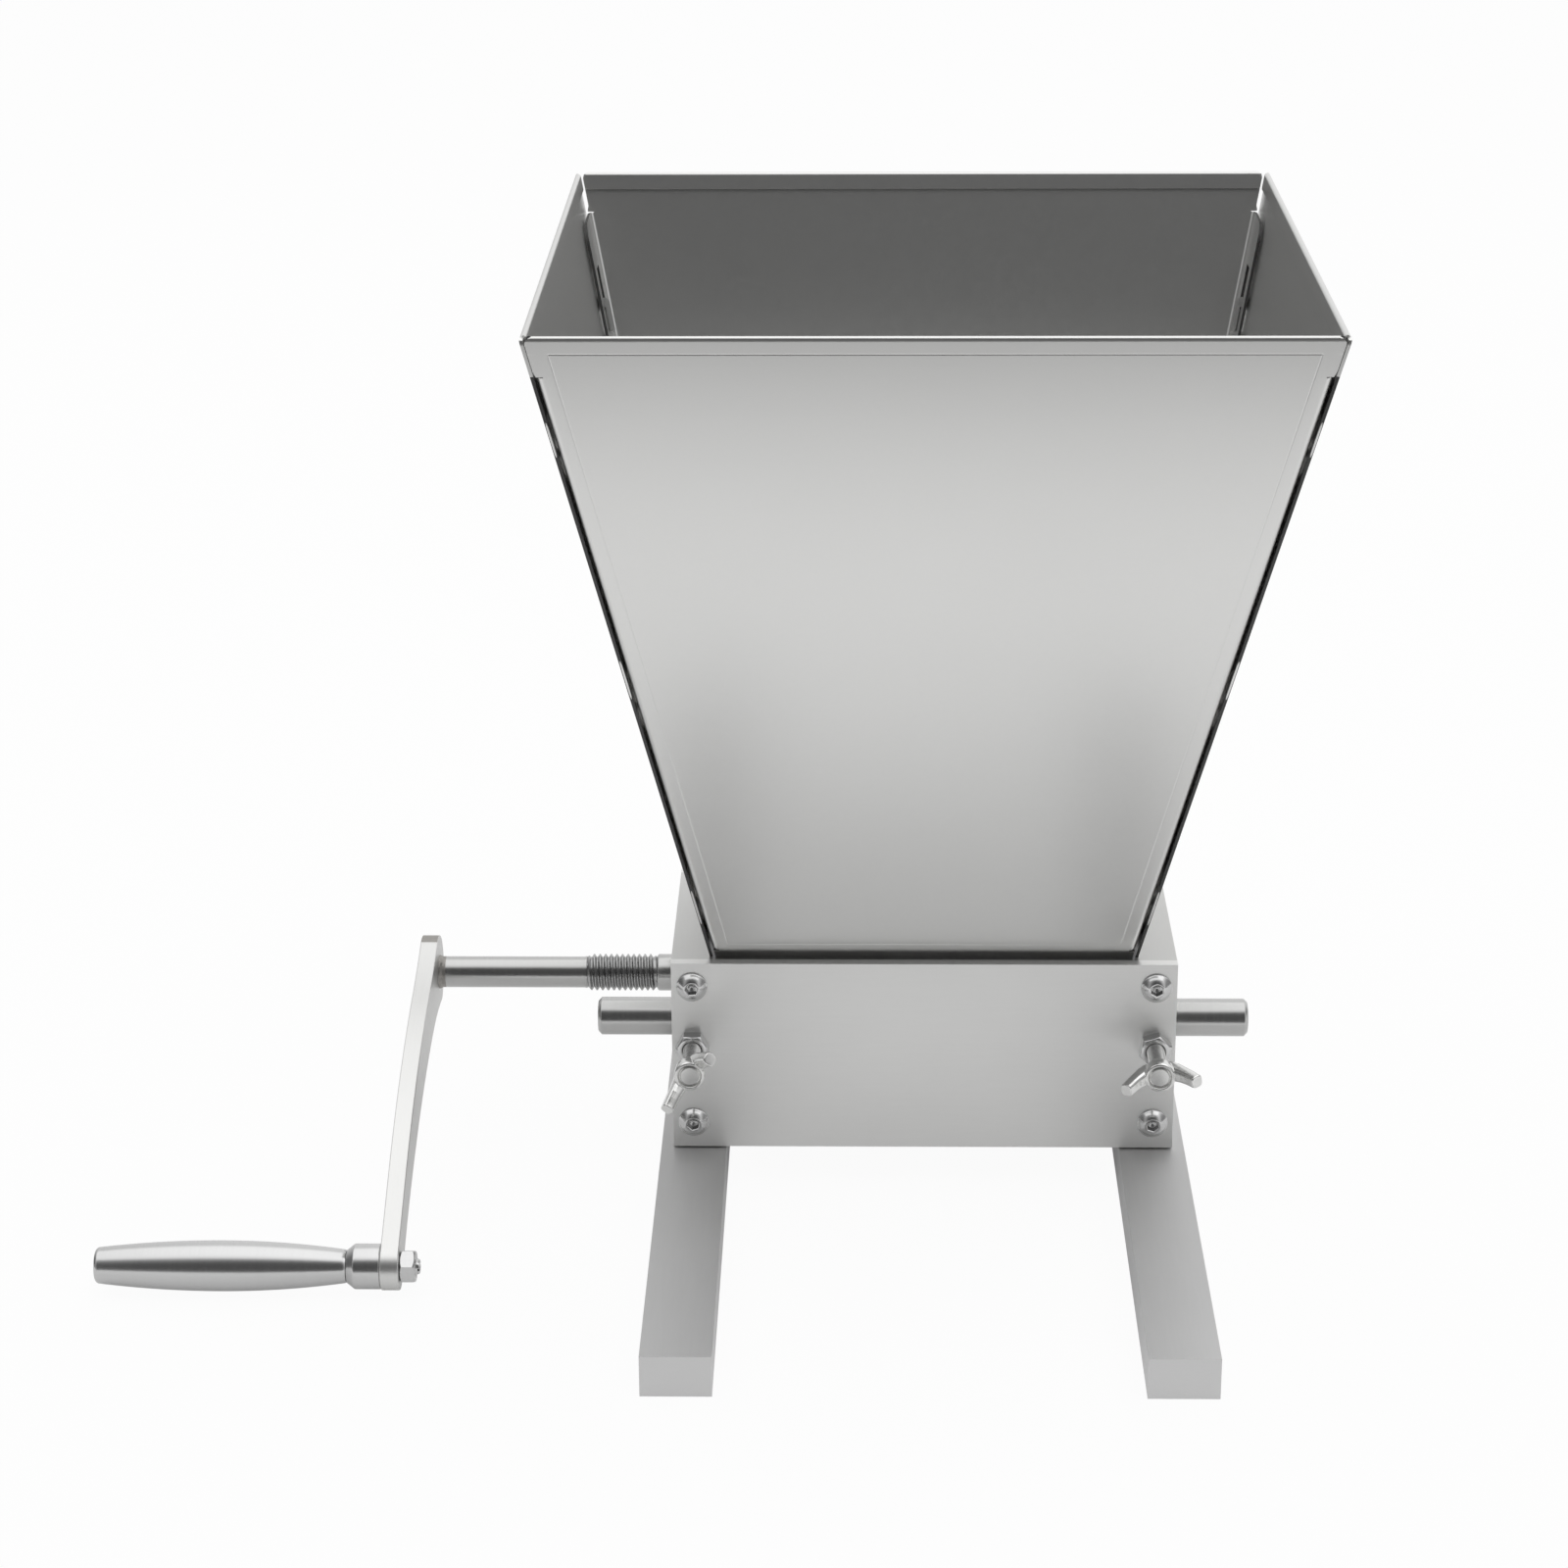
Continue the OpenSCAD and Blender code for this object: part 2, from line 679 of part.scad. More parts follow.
// A flange of the front panel against the right panel's inner face, with a slot for each hook
module right_flange() {
    s0 = flange_foot_gap / side_len;
    s1 = 1 - ear_h / side_len;
    r = flange_w / 4;
    root0 = -flare(mouth_d, rim_d, face_root / 2, s0);
    root1 = -flare(mouth_d, rim_d, face_root / 2, s1);
    free0 = root0 + flange_w;
    free1 = root1 + flange_w;
    play = hook_play / 2;
    in_side_plane() translate([0, 0, -2 * sheet_t - seat_gap]) difference() {
        linear_extrude(sheet_t) polygon(concat(
            [[root0, side_len * s0], [free0, side_len * s0]],
            arc([free1 - r, side_len * s1 - r], r, 0, 90, 5),
            [[root1, side_len * s1]]));
        for (share = hook_height_shares) at_hook(share)
            translate([-hook_w / 2 - play, -play, -cut])
                cube([hook_w + 2 * play, hook_len + hook_neck, sheet_t + 2 * cut]);
    }
}

module hopper_front() {
    half = mouth_w / 2 - face_inset;
    lift = sheet_t * sin(face_slope);
    in_face_plane() translate([0, 0, -sheet_t]) linear_extrude(sheet_t)
        polygon(panel_outline(mouth_w, rim_w, ear_inset, ear_h, face_len));
    in_face_plane() translate([0, face_len, 0]) hem(rim_w, ear_inset * 2, side_slope);
    translate([-half, -mouth_d / 2, plate_top - skirt_h]) cube([2 * half, sheet_t, skirt_h + lift]);
    right_flange();
    mirror([1, 0, 0]) right_flange();
}

module hopper_front_panel() {
    color(bright) in_mill() hopper_front();
}

module hopper_rear_panel() {
    color(steel) in_mill() mirror([0, 1, 0]) hopper_front();
}

// A lock hook: a neck through the flange's slot and a lip that points down behind the flange
module hook() {
    deep = 3 * sheet_t + seat_gap + hook_play;
    translate([-hook_w / 2, 0, -deep]) cube([hook_w, hook_neck, deep - sheet_t / 2]);
    translate([-hook_w / 2, hook_neck - hook_len, -deep]) cube([hook_w, hook_len, sheet_t]);
}

module hopper_side() {
    half = mouth_d / 2;
    lift = sheet_t * sin(side_slope);
    in_side_plane() {
        difference() {
            translate([0, 0, -sheet_t]) linear_extrude(sheet_t)
                polygon(panel_outline(mouth_d, rim_d, 0, 0, side_len));
            for (share = hook_height_shares, s = [0, 1]) mirror([s, 0, 0]) at_hook(share)
                translate([-hook_w / 2, hook_neck - hook_len, -sheet_t - cut])
                    cube([hook_w, hook_len - hook_neck, sheet_t + 2 * cut]);
        }
        for (share = hook_height_shares, s = [0, 1]) mirror([s, 0, 0]) at_hook(share) hook();
        translate([0, side_len, 0]) hem(rim_d, face_root * 3, face_slope);
    }
    translate([mouth_w / 2 - sheet_t, -half, plate_top - skirt_h]) cube([sheet_t, 2 * half, skirt_h + lift]);
}

module hopper_left_panel() {
    color(steel) in_mill() mirror([1, 0, 0]) hopper_side();
}

module hopper_right_panel() {
    color(steel) in_mill() hopper_side();
}

side_plate_left();
side_plate_right();
front_plate();
rear_plate();
leg_left();
leg_right();
front_plate_screws();
rear_plate_screws();
leg_screws();
drive_bush_left();
drive_bush_right();
hopper_front_panel();
hopper_rear_panel();
hopper_left_panel();
hopper_right_panel();
drive_roller();
drive_shaft();
drive_washers();
crank_arm();
grip_collar();
grip_bolt();
grip_nut();
crank_grip();
bearing_block_left();
bearing_block_right();
idler_bush_left();
idler_bush_right();
idler_roller();
idler_axle();
idler_washers();
wing_bolt_left();
wing_bolt_right();
lock_nut_left();
lock_nut_right();
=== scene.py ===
"""Looks of the hand cranked roller mill.

Lengths are in millimetres in the mill's own frame, except for the stage, which is in metres."""

import json
import math

import bmesh
import bpy
from mathutils import Matrix, Vector

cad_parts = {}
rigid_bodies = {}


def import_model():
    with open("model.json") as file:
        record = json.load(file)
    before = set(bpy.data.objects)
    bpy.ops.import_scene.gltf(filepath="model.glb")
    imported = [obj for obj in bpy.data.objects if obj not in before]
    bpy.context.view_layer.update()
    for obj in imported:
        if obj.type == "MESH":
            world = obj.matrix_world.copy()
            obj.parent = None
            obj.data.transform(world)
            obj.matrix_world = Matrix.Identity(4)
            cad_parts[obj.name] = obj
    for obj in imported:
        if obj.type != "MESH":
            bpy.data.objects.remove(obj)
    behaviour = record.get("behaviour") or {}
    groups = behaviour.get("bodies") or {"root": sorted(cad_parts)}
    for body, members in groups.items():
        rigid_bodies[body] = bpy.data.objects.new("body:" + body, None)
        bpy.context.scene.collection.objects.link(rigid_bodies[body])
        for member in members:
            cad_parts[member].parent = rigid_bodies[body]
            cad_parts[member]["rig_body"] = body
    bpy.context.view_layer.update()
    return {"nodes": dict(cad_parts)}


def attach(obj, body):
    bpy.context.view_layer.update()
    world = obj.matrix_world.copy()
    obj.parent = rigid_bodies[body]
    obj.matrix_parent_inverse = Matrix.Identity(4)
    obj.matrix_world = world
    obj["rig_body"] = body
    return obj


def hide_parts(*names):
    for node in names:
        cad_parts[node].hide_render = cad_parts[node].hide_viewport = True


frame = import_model()

MM = 0.001
TAU = 2 * math.pi
# Shift along X from the mill's own frame, centred between the side plates, to the shared frame
MILL_X = 73.65
# Shafts, plates and their screws, grip and arm in the mill's own frame
AXLE_Z, SHAFT_R = 52.8, 6.5
DRIVE_Y, IDLER_Y = 18.6, -18.6
PLATE_TOP, FRONT_Y, SIDE_X = 83.0, -42.5, 78.5
SCREW_Z = (24.0, 74.5)
GRIP_Y, GRIP_Z = -119.674, 9.15
ARM_X = -171.1
# Thread of the wing bolts, nuts, leg screws and grip bolt
M6_R, M6_ROOT = 3.0, 2.5
# Dark gap between the plates' lower edge and the legs
PLATE_LIFT = 0.6
# Points nearer than this are one point
JOIN = 0.002
# Weight of a face's size in the normals of flats beside rounded edges
FLAT_WEIGHT = 80
# Segments of round pieces, from the shafts down to the thinnest threads
FINE, MEDIUM, COARSE = 96, 48, 32


# Meshes

def linked(name, data):
    """A new object in the scene."""
    obj = bpy.data.objects.new(name, data)
    bpy.context.scene.collection.objects.link(obj)
    return obj


def cleaned(mesh, distance):
    """Joins points that lie together and turns all faces outwards."""
    bm = bmesh.new()
    bm.from_mesh(mesh)
    bmesh.ops.remove_doubles(bm, verts=bm.verts, dist=distance)
    bmesh.ops.recalc_face_normals(bm, faces=bm.faces)
    bm.to_mesh(mesh)
    bm.free()


def evaluated(obj):
    """The mesh of a helper object with its modifiers applied, the helper removed."""
    made = bpy.data.meshes.new_from_object(obj.evaluated_get(bpy.context.evaluated_depsgraph_get()))
    bpy.data.objects.remove(obj)
    return made


def placed(point):
    """A point of the mill's own frame, in metres in the shared frame."""
    x, y, z = point
    return ((x + MILL_X) * MM, y * MM, z * MM)


def mesh_object(name, part, node, body, material, angle):
    """A piece from points in millimetres in the mill's own frame, in place of a CAD node."""
    verts, faces = part
    mesh = bpy.data.meshes.new(name)
    mesh.from_pydata([placed(v) for v in verts], [], faces)
    cleaned(mesh, JOIN * MM)
    obj = linked(name, mesh)
    mesh.materials.append(material)
    smooth(mesh, angle)
    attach(obj, body)
    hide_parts(node)
    return obj


def smooth(mesh, angle):
    """Smooth faces with sharp edges above an angle in degrees."""
    mesh.shade_smooth()
    bm = bmesh.new()
    bm.from_mesh(mesh)
    limit = math.radians(angle)
    for edge in bm.edges:
        edge.smooth = not (len(edge.link_faces) == 2 and edge.calc_face_angle(0) > limit)
    bm.to_mesh(mesh)
    bm.free()


def flat_normals(obj, keep_sharp):
    """Keeps the flats beside rounded edges flat to the eye."""
    weight = obj.modifiers.new("flats", "WEIGHTED_NORMAL")
    weight.keep_sharp = keep_sharp
    weight.weight = FLAT_WEIGHT


def bevelled(obj, width, segments=2, angle=30):
    """Rounds the piece's edges with real geometry and keeps its flats flat."""
    mod = obj.modifiers.new("edge", "BEVEL")
    mod.width = width * MM
    mod.segments = segments
    mod.limit_method = "ANGLE"
    mod.angle_limit = math.radians(angle)
    mod.harden_normals = False
    mod.use_clamp_overlap = True
    for poly in obj.data.polygons:
        poly.use_smooth = True
    for edge in obj.data.edges:
        edge.use_edge_sharp = False
    flat_normals(obj, False)


def dressed(node, width, material, lift=0.0):
    """A copy of a CAD node with rounded edges, its lowest face lifted a little."""
    source = frame["nodes"][node]
    mesh = source.data.copy()
    bm = bmesh.new()
    bm.from_mesh(mesh)
    bmesh.ops.remove_doubles(bm, verts=bm.verts, dist=JOIN / 4 * MM)
    bmesh.ops.dissolve_limit(bm, angle_limit=math.radians(1), verts=bm.verts, edges=bm.edges)
    floor_z = min(v.co.z for v in bm.verts)
    for v in bm.verts:
        if v.co.z < floor_z + 0.01 * MM:
            v.co.z += lift * MM
    bm.to_mesh(mesh)
    bm.free()
    obj = linked(node + "_dressed", mesh)
    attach(obj, source["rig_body"])
    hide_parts(node)
    bevelled(obj, width)
    mesh.materials.clear()
    mesh.materials.append(material)


def lathe(profile, segments, wobble=None):
    """Points and faces turned about X. The profile is a list of (x, radius)."""
    verts, faces, rings = [], [], []
    for x, r in profile:
        if r <= 0:
            verts.append((x, 0.0, 0.0))
            rings.append([len(verts) - 1])
            continue
        start = len(verts)
        for i in range(segments):
            a = TAU * i / segments
            out = wobble(x, a, r) if wobble else r
            verts.append((x, out * math.cos(a), out * math.sin(a)))
        rings.append(range(start, start + segments))
    for a, b in zip(rings, rings[1:]):
        for i in range(segments):
            j = (i + 1) % segments
            if len(a) == 1 and len(b) > 1:
                faces.append((a[0], b[i], b[j]))
            elif len(b) == 1 and len(a) > 1:
                faces.append((a[i], a[j], b[0]))
            elif len(a) > 1:
                faces.append((a[i], a[j], b[j], b[i]))
    return verts, faces


def along_x(part, x, y, z, turn=0.0):
    """Moves a lathed part to a place along X, turned about its axis by an angle in degrees."""
    verts, faces = part
    c, s = math.cos(math.radians(turn)), math.sin(math.radians(turn))
    return [(x + vx, y + vy * c - vz * s, z + vy * s + vz * c) for vx, vy, vz in verts], faces


def to_front(part, x, y, z, turn=0.0):
    """Turns a lathed part so that its X runs towards the front."""
    verts, faces = part
    c, s = math.cos(math.radians(turn)), math.sin(math.radians(turn))
    return [(x + vy * c - vz * s, y - vx, z + vy * s + vz * c) for vx, vy, vz in verts], faces


def joined(*parts):
    """Several sets of points and faces as one."""
    verts, faces = [], []
    for more_verts, more_faces in parts:
        base = len(verts)
        verts += more_verts
        faces += [tuple(i + base for i in face) for face in more_faces]
    return verts, faces


def arc(cx, cy, r, a0, a1, n):
    """Points of an arc from one angle to another, in degrees."""
    out = []
    for i in range(n + 1):
        a = math.radians(a0 + (a1 - a0) * i / n)
        out.append((cx + r * math.cos(a), cy + r * math.sin(a)))
    return out


# Materials

# Slow change of tone and fine pits, in waves per metre, and the fine grain's share of the tone
SLOW_SCALE = 14.0
PIT_SCALE = 900.0
FINE_SHARE = 0.45
# Height of the grain
RELIEF = 0.05


def math_node(tree, operation, *values):
    """A math node whose inputs are sockets or numbers."""
    node = tree.nodes.new("ShaderNodeMath")
    node.operation = operation
    for socket, value in zip(node.inputs, values):
        if isinstance(value, float):
            socket.default_value = value
        else:
            tree.links.new(value, socket)
    return node.outputs["Value"]


def range_node(tree, value, before, after, interpolation="LINEAR"):
    """Maps a socket's value from one range to another."""
    node = tree.nodes.new("ShaderNodeMapRange")
    node.interpolation_type = interpolation
    node.inputs["From Min"].default_value, node.inputs["From Max"].default_value = before
    node.inputs["To Min"].default_value, node.inputs["To Max"].default_value = after
    tree.links.new(value, node.inputs["Value"])
    return node.outputs["Result"]


def noise_node(tree, vector, scale, detail, roughness=0.5):
    """A noise texture on a vector socket."""
    node = tree.nodes.new("ShaderNodeTexNoise")
    node.inputs["Scale"].default_value = scale
    node.inputs["Detail"].default_value = detail
    node.inputs["Roughness"].default_value = roughness
    tree.links.new(vector, node.inputs["Vector"])
    return node.outputs["Fac"]


def ramp_node(tree, value, stops):
    """A colour ramp between two stops of (place, colour)."""
    node = tree.nodes.new("ShaderNodeValToRGB")
    for element, (place, colour) in zip(node.color_ramp.elements, stops):
        element.position = place
        element.color = colour + (1,)
    tree.links.new(value, node.inputs["Fac"])
    return node.outputs["Color"]


def steel(name, colour, rough, grain, streak, bump, tone, pits=0.0):
    """Brushed, blasted or turned metal: grain in roughness and bump, and a slow change of tone."""
    mat = bpy.data.materials.new(name)
    mat.use_nodes = True
    tree = mat.node_tree
    nodes, links = tree.nodes, tree.links
    shader = nodes["Principled BSDF"]
    shader.inputs["Metallic"].default_value = 1.0
    coord = nodes.new("ShaderNodeTexCoord").outputs["Object"]
    place = nodes.new("ShaderNodeMapping")
    place.inputs["Scale"].default_value = grain
    links.new(coord, place.inputs["Vector"])
    fine = noise_node(tree, place.outputs["Vector"], 1.0, 5.0, 0.62)
    slow = noise_node(tree, coord, SLOW_SCALE, 3.0)
    links.new(range_node(tree, fine, (0, 1), (rough - streak, rough + streak)), shader.inputs["Roughness"])
    mix = math_node(tree, "MULTIPLY_ADD", fine, FINE_SHARE, math_node(tree, "MULTIPLY", slow, 1 - FINE_SHARE))
    low = tuple(c * (1 - tone) for c in colour)
    high = tuple(min(1, c * (1 + tone)) for c in colour)
    links.new(ramp_node(tree, mix, ((0.3, low), (0.7, high))), shader.inputs["Base Color"])
    height = fine
    if pits:
        spots = nodes.new("ShaderNodeTexVoronoi")
        spots.inputs["Scale"].default_value = PIT_SCALE
        links.new(coord, spots.inputs["Vector"])
        height = math_node(tree, "MULTIPLY_ADD", spots.outputs["Distance"], pits, fine)
    relief = nodes.new("ShaderNodeBump")
    relief.inputs["Strength"].default_value = bump
    relief.inputs["Distance"].default_value = RELIEF * MM
    links.new(height, relief.inputs["Height"])
    links.new(relief.outputs["Normal"], shader.inputs["Normal"])
    return mat


SHEET = steel("sheet_satin", (0.72, 0.72, 0.71), 0.30, (500, 500, 500), 0.03, 0.008, 0.015)
# Painted shade: near black for the hopper sheets' cut edges, so that the seams between the panels read as
# dark gaps
PAINTED_EDGE_SHADE = steel("sheet_edge_painted_shade", (0.10, 0.10, 0.10), 0.5, (900, 900, 900), 0.06, 0.05, 0.1)
PLATE = steel("plate_satin", (0.87, 0.87, 0.86), 0.44, (60, 900, 900), 0.05, 0.05, 0.02)
BAR = steel("leg_bar_satin", (0.71, 0.71, 0.71), 0.58, (900, 60, 900), 0.05, 0.08, 0.03)
SIDE = steel("side_plate_milled", (0.66, 0.66, 0.65), 0.42, (900, 80, 700), 0.06, 0.12, 0.04)
ARM = steel("crank_arm_satin", (0.74, 0.74, 0.73), 0.38, (900, 90, 90), 0.05, 0.12, 0.04, pits=0.3)
TURNED = steel("turned_steel", (0.54, 0.54, 0.535), 0.24, (1600, 60, 60), 0.05, 0.10, 0.05)
THREAD = steel("cut_thread", (0.44, 0.44, 0.44), 0.24, (900, 90, 90), 0.06, 0.2, 0.06)
BRAZE = steel("brazed_joint", (0.42, 0.405, 0.385), 0.46, (900, 900, 900), 0.08, 0.6, 0.2, pits=0.5)
GRIP = steel("grip_turned", (0.62, 0.62, 0.62), 0.24, (1500, 70, 70), 0.04, 0.08, 0.04)
BRIGHT = steel("bright_fastener", (0.62, 0.62, 0.62), 0.18, (900, 900, 900), 0.06, 0.1, 0.06)
CAST = steel("cast_wing", (0.80, 0.80, 0.79), 0.22, (700, 700, 700), 0.08, 0.35, 0.06)
ROLLER = steel("knurled_roller", (0.34, 0.34, 0.35), 0.32, (900, 900, 900), 0.08, 0.2, 0.1)
BLOCK = steel("milled_block", (0.36, 0.36, 0.37), 0.4, (900, 80, 700), 0.07, 0.3, 0.08)
BRONZE = steel("sintered_bronze", (0.45, 0.30, 0.14), 0.42, (1100, 1100, 1100), 0.08, 0.4, 0.1, pits=0.4)


for node in ("drive_bush_left", "drive_bush_right", "idler_bush_left", "idler_bush_right",
             "drive_washers", "idler_washers"):
    dressed(node, 0.15, BRONZE)
for node in ("front_plate", "rear_plate"):
    dressed(node, 0.45, PLATE, PLATE_LIFT)
for node in ("side_plate_left", "side_plate_right"):
    dressed(node, 0.35, SIDE)
for node in ("leg_left", "leg_right"):
    dressed(node, 0.4, BAR)
for node in ("bearing_block_left", "bearing_block_right"):
    dressed(node, 0.2, BLOCK)


# Hopper

SHEET_T, SHEET_EDGE = 1.0, 0.16
MOUTH_W, RIM_W = 145.0, 246.4
MOUTH_D, RIM_D = 72.0, 239.2
HOPPER_H = 235.5
SKIRT_H = 8.0
# Lean of the side and face panels, and their lengths up the slope
SIDE_A = math.atan((RIM_W - MOUTH_W) / 2 / HOPPER_H)
FACE_A = math.atan((RIM_D - MOUTH_D) / 2 / HOPPER_H)
SIDE_LEN = HOPPER_H / math.cos(SIDE_A)
FACE_LEN = HOPPER_H / math.cos(FACE_A)
# Thickness of a face panel, measured level
FACE_ROOT = SHEET_T / math.cos(FACE_A)
# Flanges of the face panels, behind the side panels
FLANGE_GAP = 1.6 / math.cos(SIDE_A)
FLANGE_W = 22.0
FLANGE_ROUND = 5.5
BEND_R = 2.2
FOOT_H = 3.0
# Ears of the face panels, above the flanges
EAR_H = 13.0
FRONT_EAR_IN = 1.3 / math.cos(SIDE_A)
REAR_EAR_IN = 2.3 / math.cos(SIDE_A)
EAR_ROOT = 0.25
EAR_STEP, EAR_RISE = 0.3, 2.2
# Hem at the rim
HEM_H = 6.2
FOLD_R = 1.03
CORNER_R = 2.6
# Hooks of the side panels, at shares of the slope, in slots of the flanges
HOOK_SHARES = (0.08, 0.42, 0.82)
HOOK_W, HOOK_LEN, HOOK_NECK, HOOK_PLAY = 6.0, 12.0, 3.0, 0.17
HOOK_IN = FLANGE_W * 0.55
# Heights between which a hook's root shows in the seam
HOOK_SEEN = ((97.0, 111.0), (189.0, 203.5), (278.0, 290.0))
# Lean of the seam in the side panel's plane
LEAN = math.atan((RIM_D - MOUTH_D) / 2 / SIDE_LEN)
# Fine groove along the front panel's edges, as distances from an edge
GROOVE = (5.35, 5.6, 5.75, 5.9, 6.15)
GROOVE_DEEP = 0.07
# Height up to which the side panels' cut edges are painted dark as shade; above it they keep the sheet's
# colour
EDGE_SHADE_TOP_Z = 305.5


def side_at(z):
    """Outer half width of the hopper at a height."""
    return MOUTH_W / 2 + max(0.0, z - PLATE_TOP) * math.tan(SIDE_A)


def face_at(z):
    """Outer half depth of the hopper at a height."""
    return MOUTH_D / 2 + max(0.0, z - PLATE_TOP) * math.tan(FACE_A)


def slope_rows(length, extra, curl=0.0):
    """Rows up a panel as (distance up the slope, depth behind the outer face, rounding inset).

    The curl bends the hem's free edge back to the panel."""
    rows = [(v, 0.0, 0.0) for v in [-SKIRT_H, -0.5, 0.0, 0.5] + sorted(extra)]
    top = length - FOLD_R
    turn = math.asin(1 - FOLD_R / CORNER_R)
    for i in range(5):
        a = turn * i / 4
        rows.append((length - CORNER_R + CORNER_R * math.sin(a), 0.0, CORNER_R * (1 - math.cos(a))))
    inset = rows[-1][2]
    for i in range(1, 9):
        a = math.pi * i / 8
        more = CORNER_R * (1 - math.cos(turn + (math.pi / 2 - turn) * min(i, 8 - i) / 4))
        rows.append((top + FOLD_R * math.sin(a), FOLD_R * (1 - math.cos(a)), max(inset, more)))
    for i in range(4, -1, -1):
        a = turn * i / 4
        rounding = CORNER_R * (1 - math.cos(a)) + 0.1
        rows.append((length - CORNER_R + CORNER_R * math.sin(a) - 0.05, 2 * FOLD_R, rounding))
    for up, bent, rounding in ((1.0, 0.0, 0.1), (0.5, 0.1, 0.2), (0.2, 0.5, 0.4), (0.0, 1.0, 0.9)):
        rows.append((length - HEM_H + up, 2 * FOLD_R - bent * curl, rounding))
    return rows


def face_point(x, v, w):
    """A point of the front panel from its distance up the slope and depth behind the face."""
    if v < 0:
        return (x, -MOUTH_D / 2 + w, PLATE_TOP + v)
    return (x, -MOUTH_D / 2 - v * math.sin(FACE_A) + w * math.cos(FACE_A),
            PLATE_TOP + v * math.cos(FACE_A) + w * math.sin(FACE_A))


def side_point(y, v, w):
    """A point of the right panel from its distance up the slope and depth behind the face."""
    if v < 0:
        return (MOUTH_W / 2 - w, y, PLATE_TOP + v)
    return (MOUTH_W / 2 + v * math.sin(SIDE_A) - w * math.cos(SIDE_A), y,
            PLATE_TOP + v * math.cos(SIDE_A) + w * math.sin(SIDE_A))


def strip(lower, upper):
    """Quads between two rows of points, left to right."""
    return [(a, b, d, c) for (a, b), (c, d) in zip(zip(lower, lower[1:]), zip(upper, upper[1:]))]


def both_sides(quads):
    """Quads at the right, each with its mirror image at the left."""
    return [way for quad in quads for way in (quad, tuple((-x, y, z) for x, y, z in reversed(quad)))]


def loft_faces(n, rings, closed=False):
    """Quads between rings of n points each. If closed, the last ring joins the first."""
    faces = []
    for k in range(rings if closed else rings - 1):
        lower, upper = k * n, (k + 1) % rings * n
        faces += [(lower + i, lower + (i + 1) % n, upper + (i + 1) % n, upper + i) for i in range(n)]
    return faces


def sheet_object(name, quads, node, hooks=(), edge_shade_top=math.inf):
    """A hopper sheet from quads of its outer face, made solid, with hooks added.

    Its cut edges are painted dark as shade up to a height and keep the sheet's colour above it."""
    mesh = bpy.data.meshes.new(name + "_skin")
    faces = [tuple(range(4 * i, 4 * i + 4)) for i in range(len(quads))]
    mesh.from_pydata([placed(p) for quad in quads for p in quad], [], faces)
    bm = bmesh.new()
    bm.from_mesh(mesh)
    bmesh.ops.remove_doubles(bm, verts=bm.verts, dist=2 * JOIN * MM)
    bm.to_mesh(mesh)
    bm.free()
    mesh.materials.append(SHEET)
    mesh.materials.append(PAINTED_EDGE_SHADE)
    skin = linked(name + "_skin", mesh)
    solid = skin.modifiers.new("thick", "SOLIDIFY")
    solid.thickness = SHEET_T * MM
    solid.offset = -1.0
    solid.use_even_offset = True
    # The rim faces, which are the sheet's cut edges, take the painted shade
    solid.material_offset_rim = 1
    edge = skin.modifiers.new("edge", "BEVEL")
    edge.width = SHEET_EDGE * MM
    edge.segments = 2
    edge.limit_method = "ANGLE"
    edge.angle_limit = math.radians(60)
    made = evaluated(skin)
    bm = bmesh.new()
    bm.from_mesh(made)
    for hook_verts, hook_faces in hooks:
        added = [bm.verts.new(placed(v)) for v in hook_verts]
        for face in hook_faces:
            bm.faces.new([added[i] for i in face])
    bmesh.ops.recalc_face_normals(bm, faces=bm.faces)
    bm.to_mesh(made)
    bm.free()
    # Above the given height the cut edges drop the painted shade and take the sheet's colour
    for poly in made.polygons:
        if poly.center.z > edge_shade_top * MM:
            poly.material_index = 0
    made.name = name
    obj = linked(name, made)
    smooth(made, 35)
    flat_normals(obj, True)
    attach(obj, "hopper")
    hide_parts(node)


def hook_rows():
    """Heights up the side's slope where hook slots and windows begin and end."""
    lean = math.cos(LEAN)
    out = []
    for share in HOOK_SHARES:
        v = SIDE_LEN * share
        out.append({"slot": (v - HOOK_PLAY * lean, v + (HOOK_LEN + HOOK_NECK - HOOK_PLAY) * lean),
                    "window": (v - (HOOK_LEN - HOOK_NECK) * lean, v)})
    return out


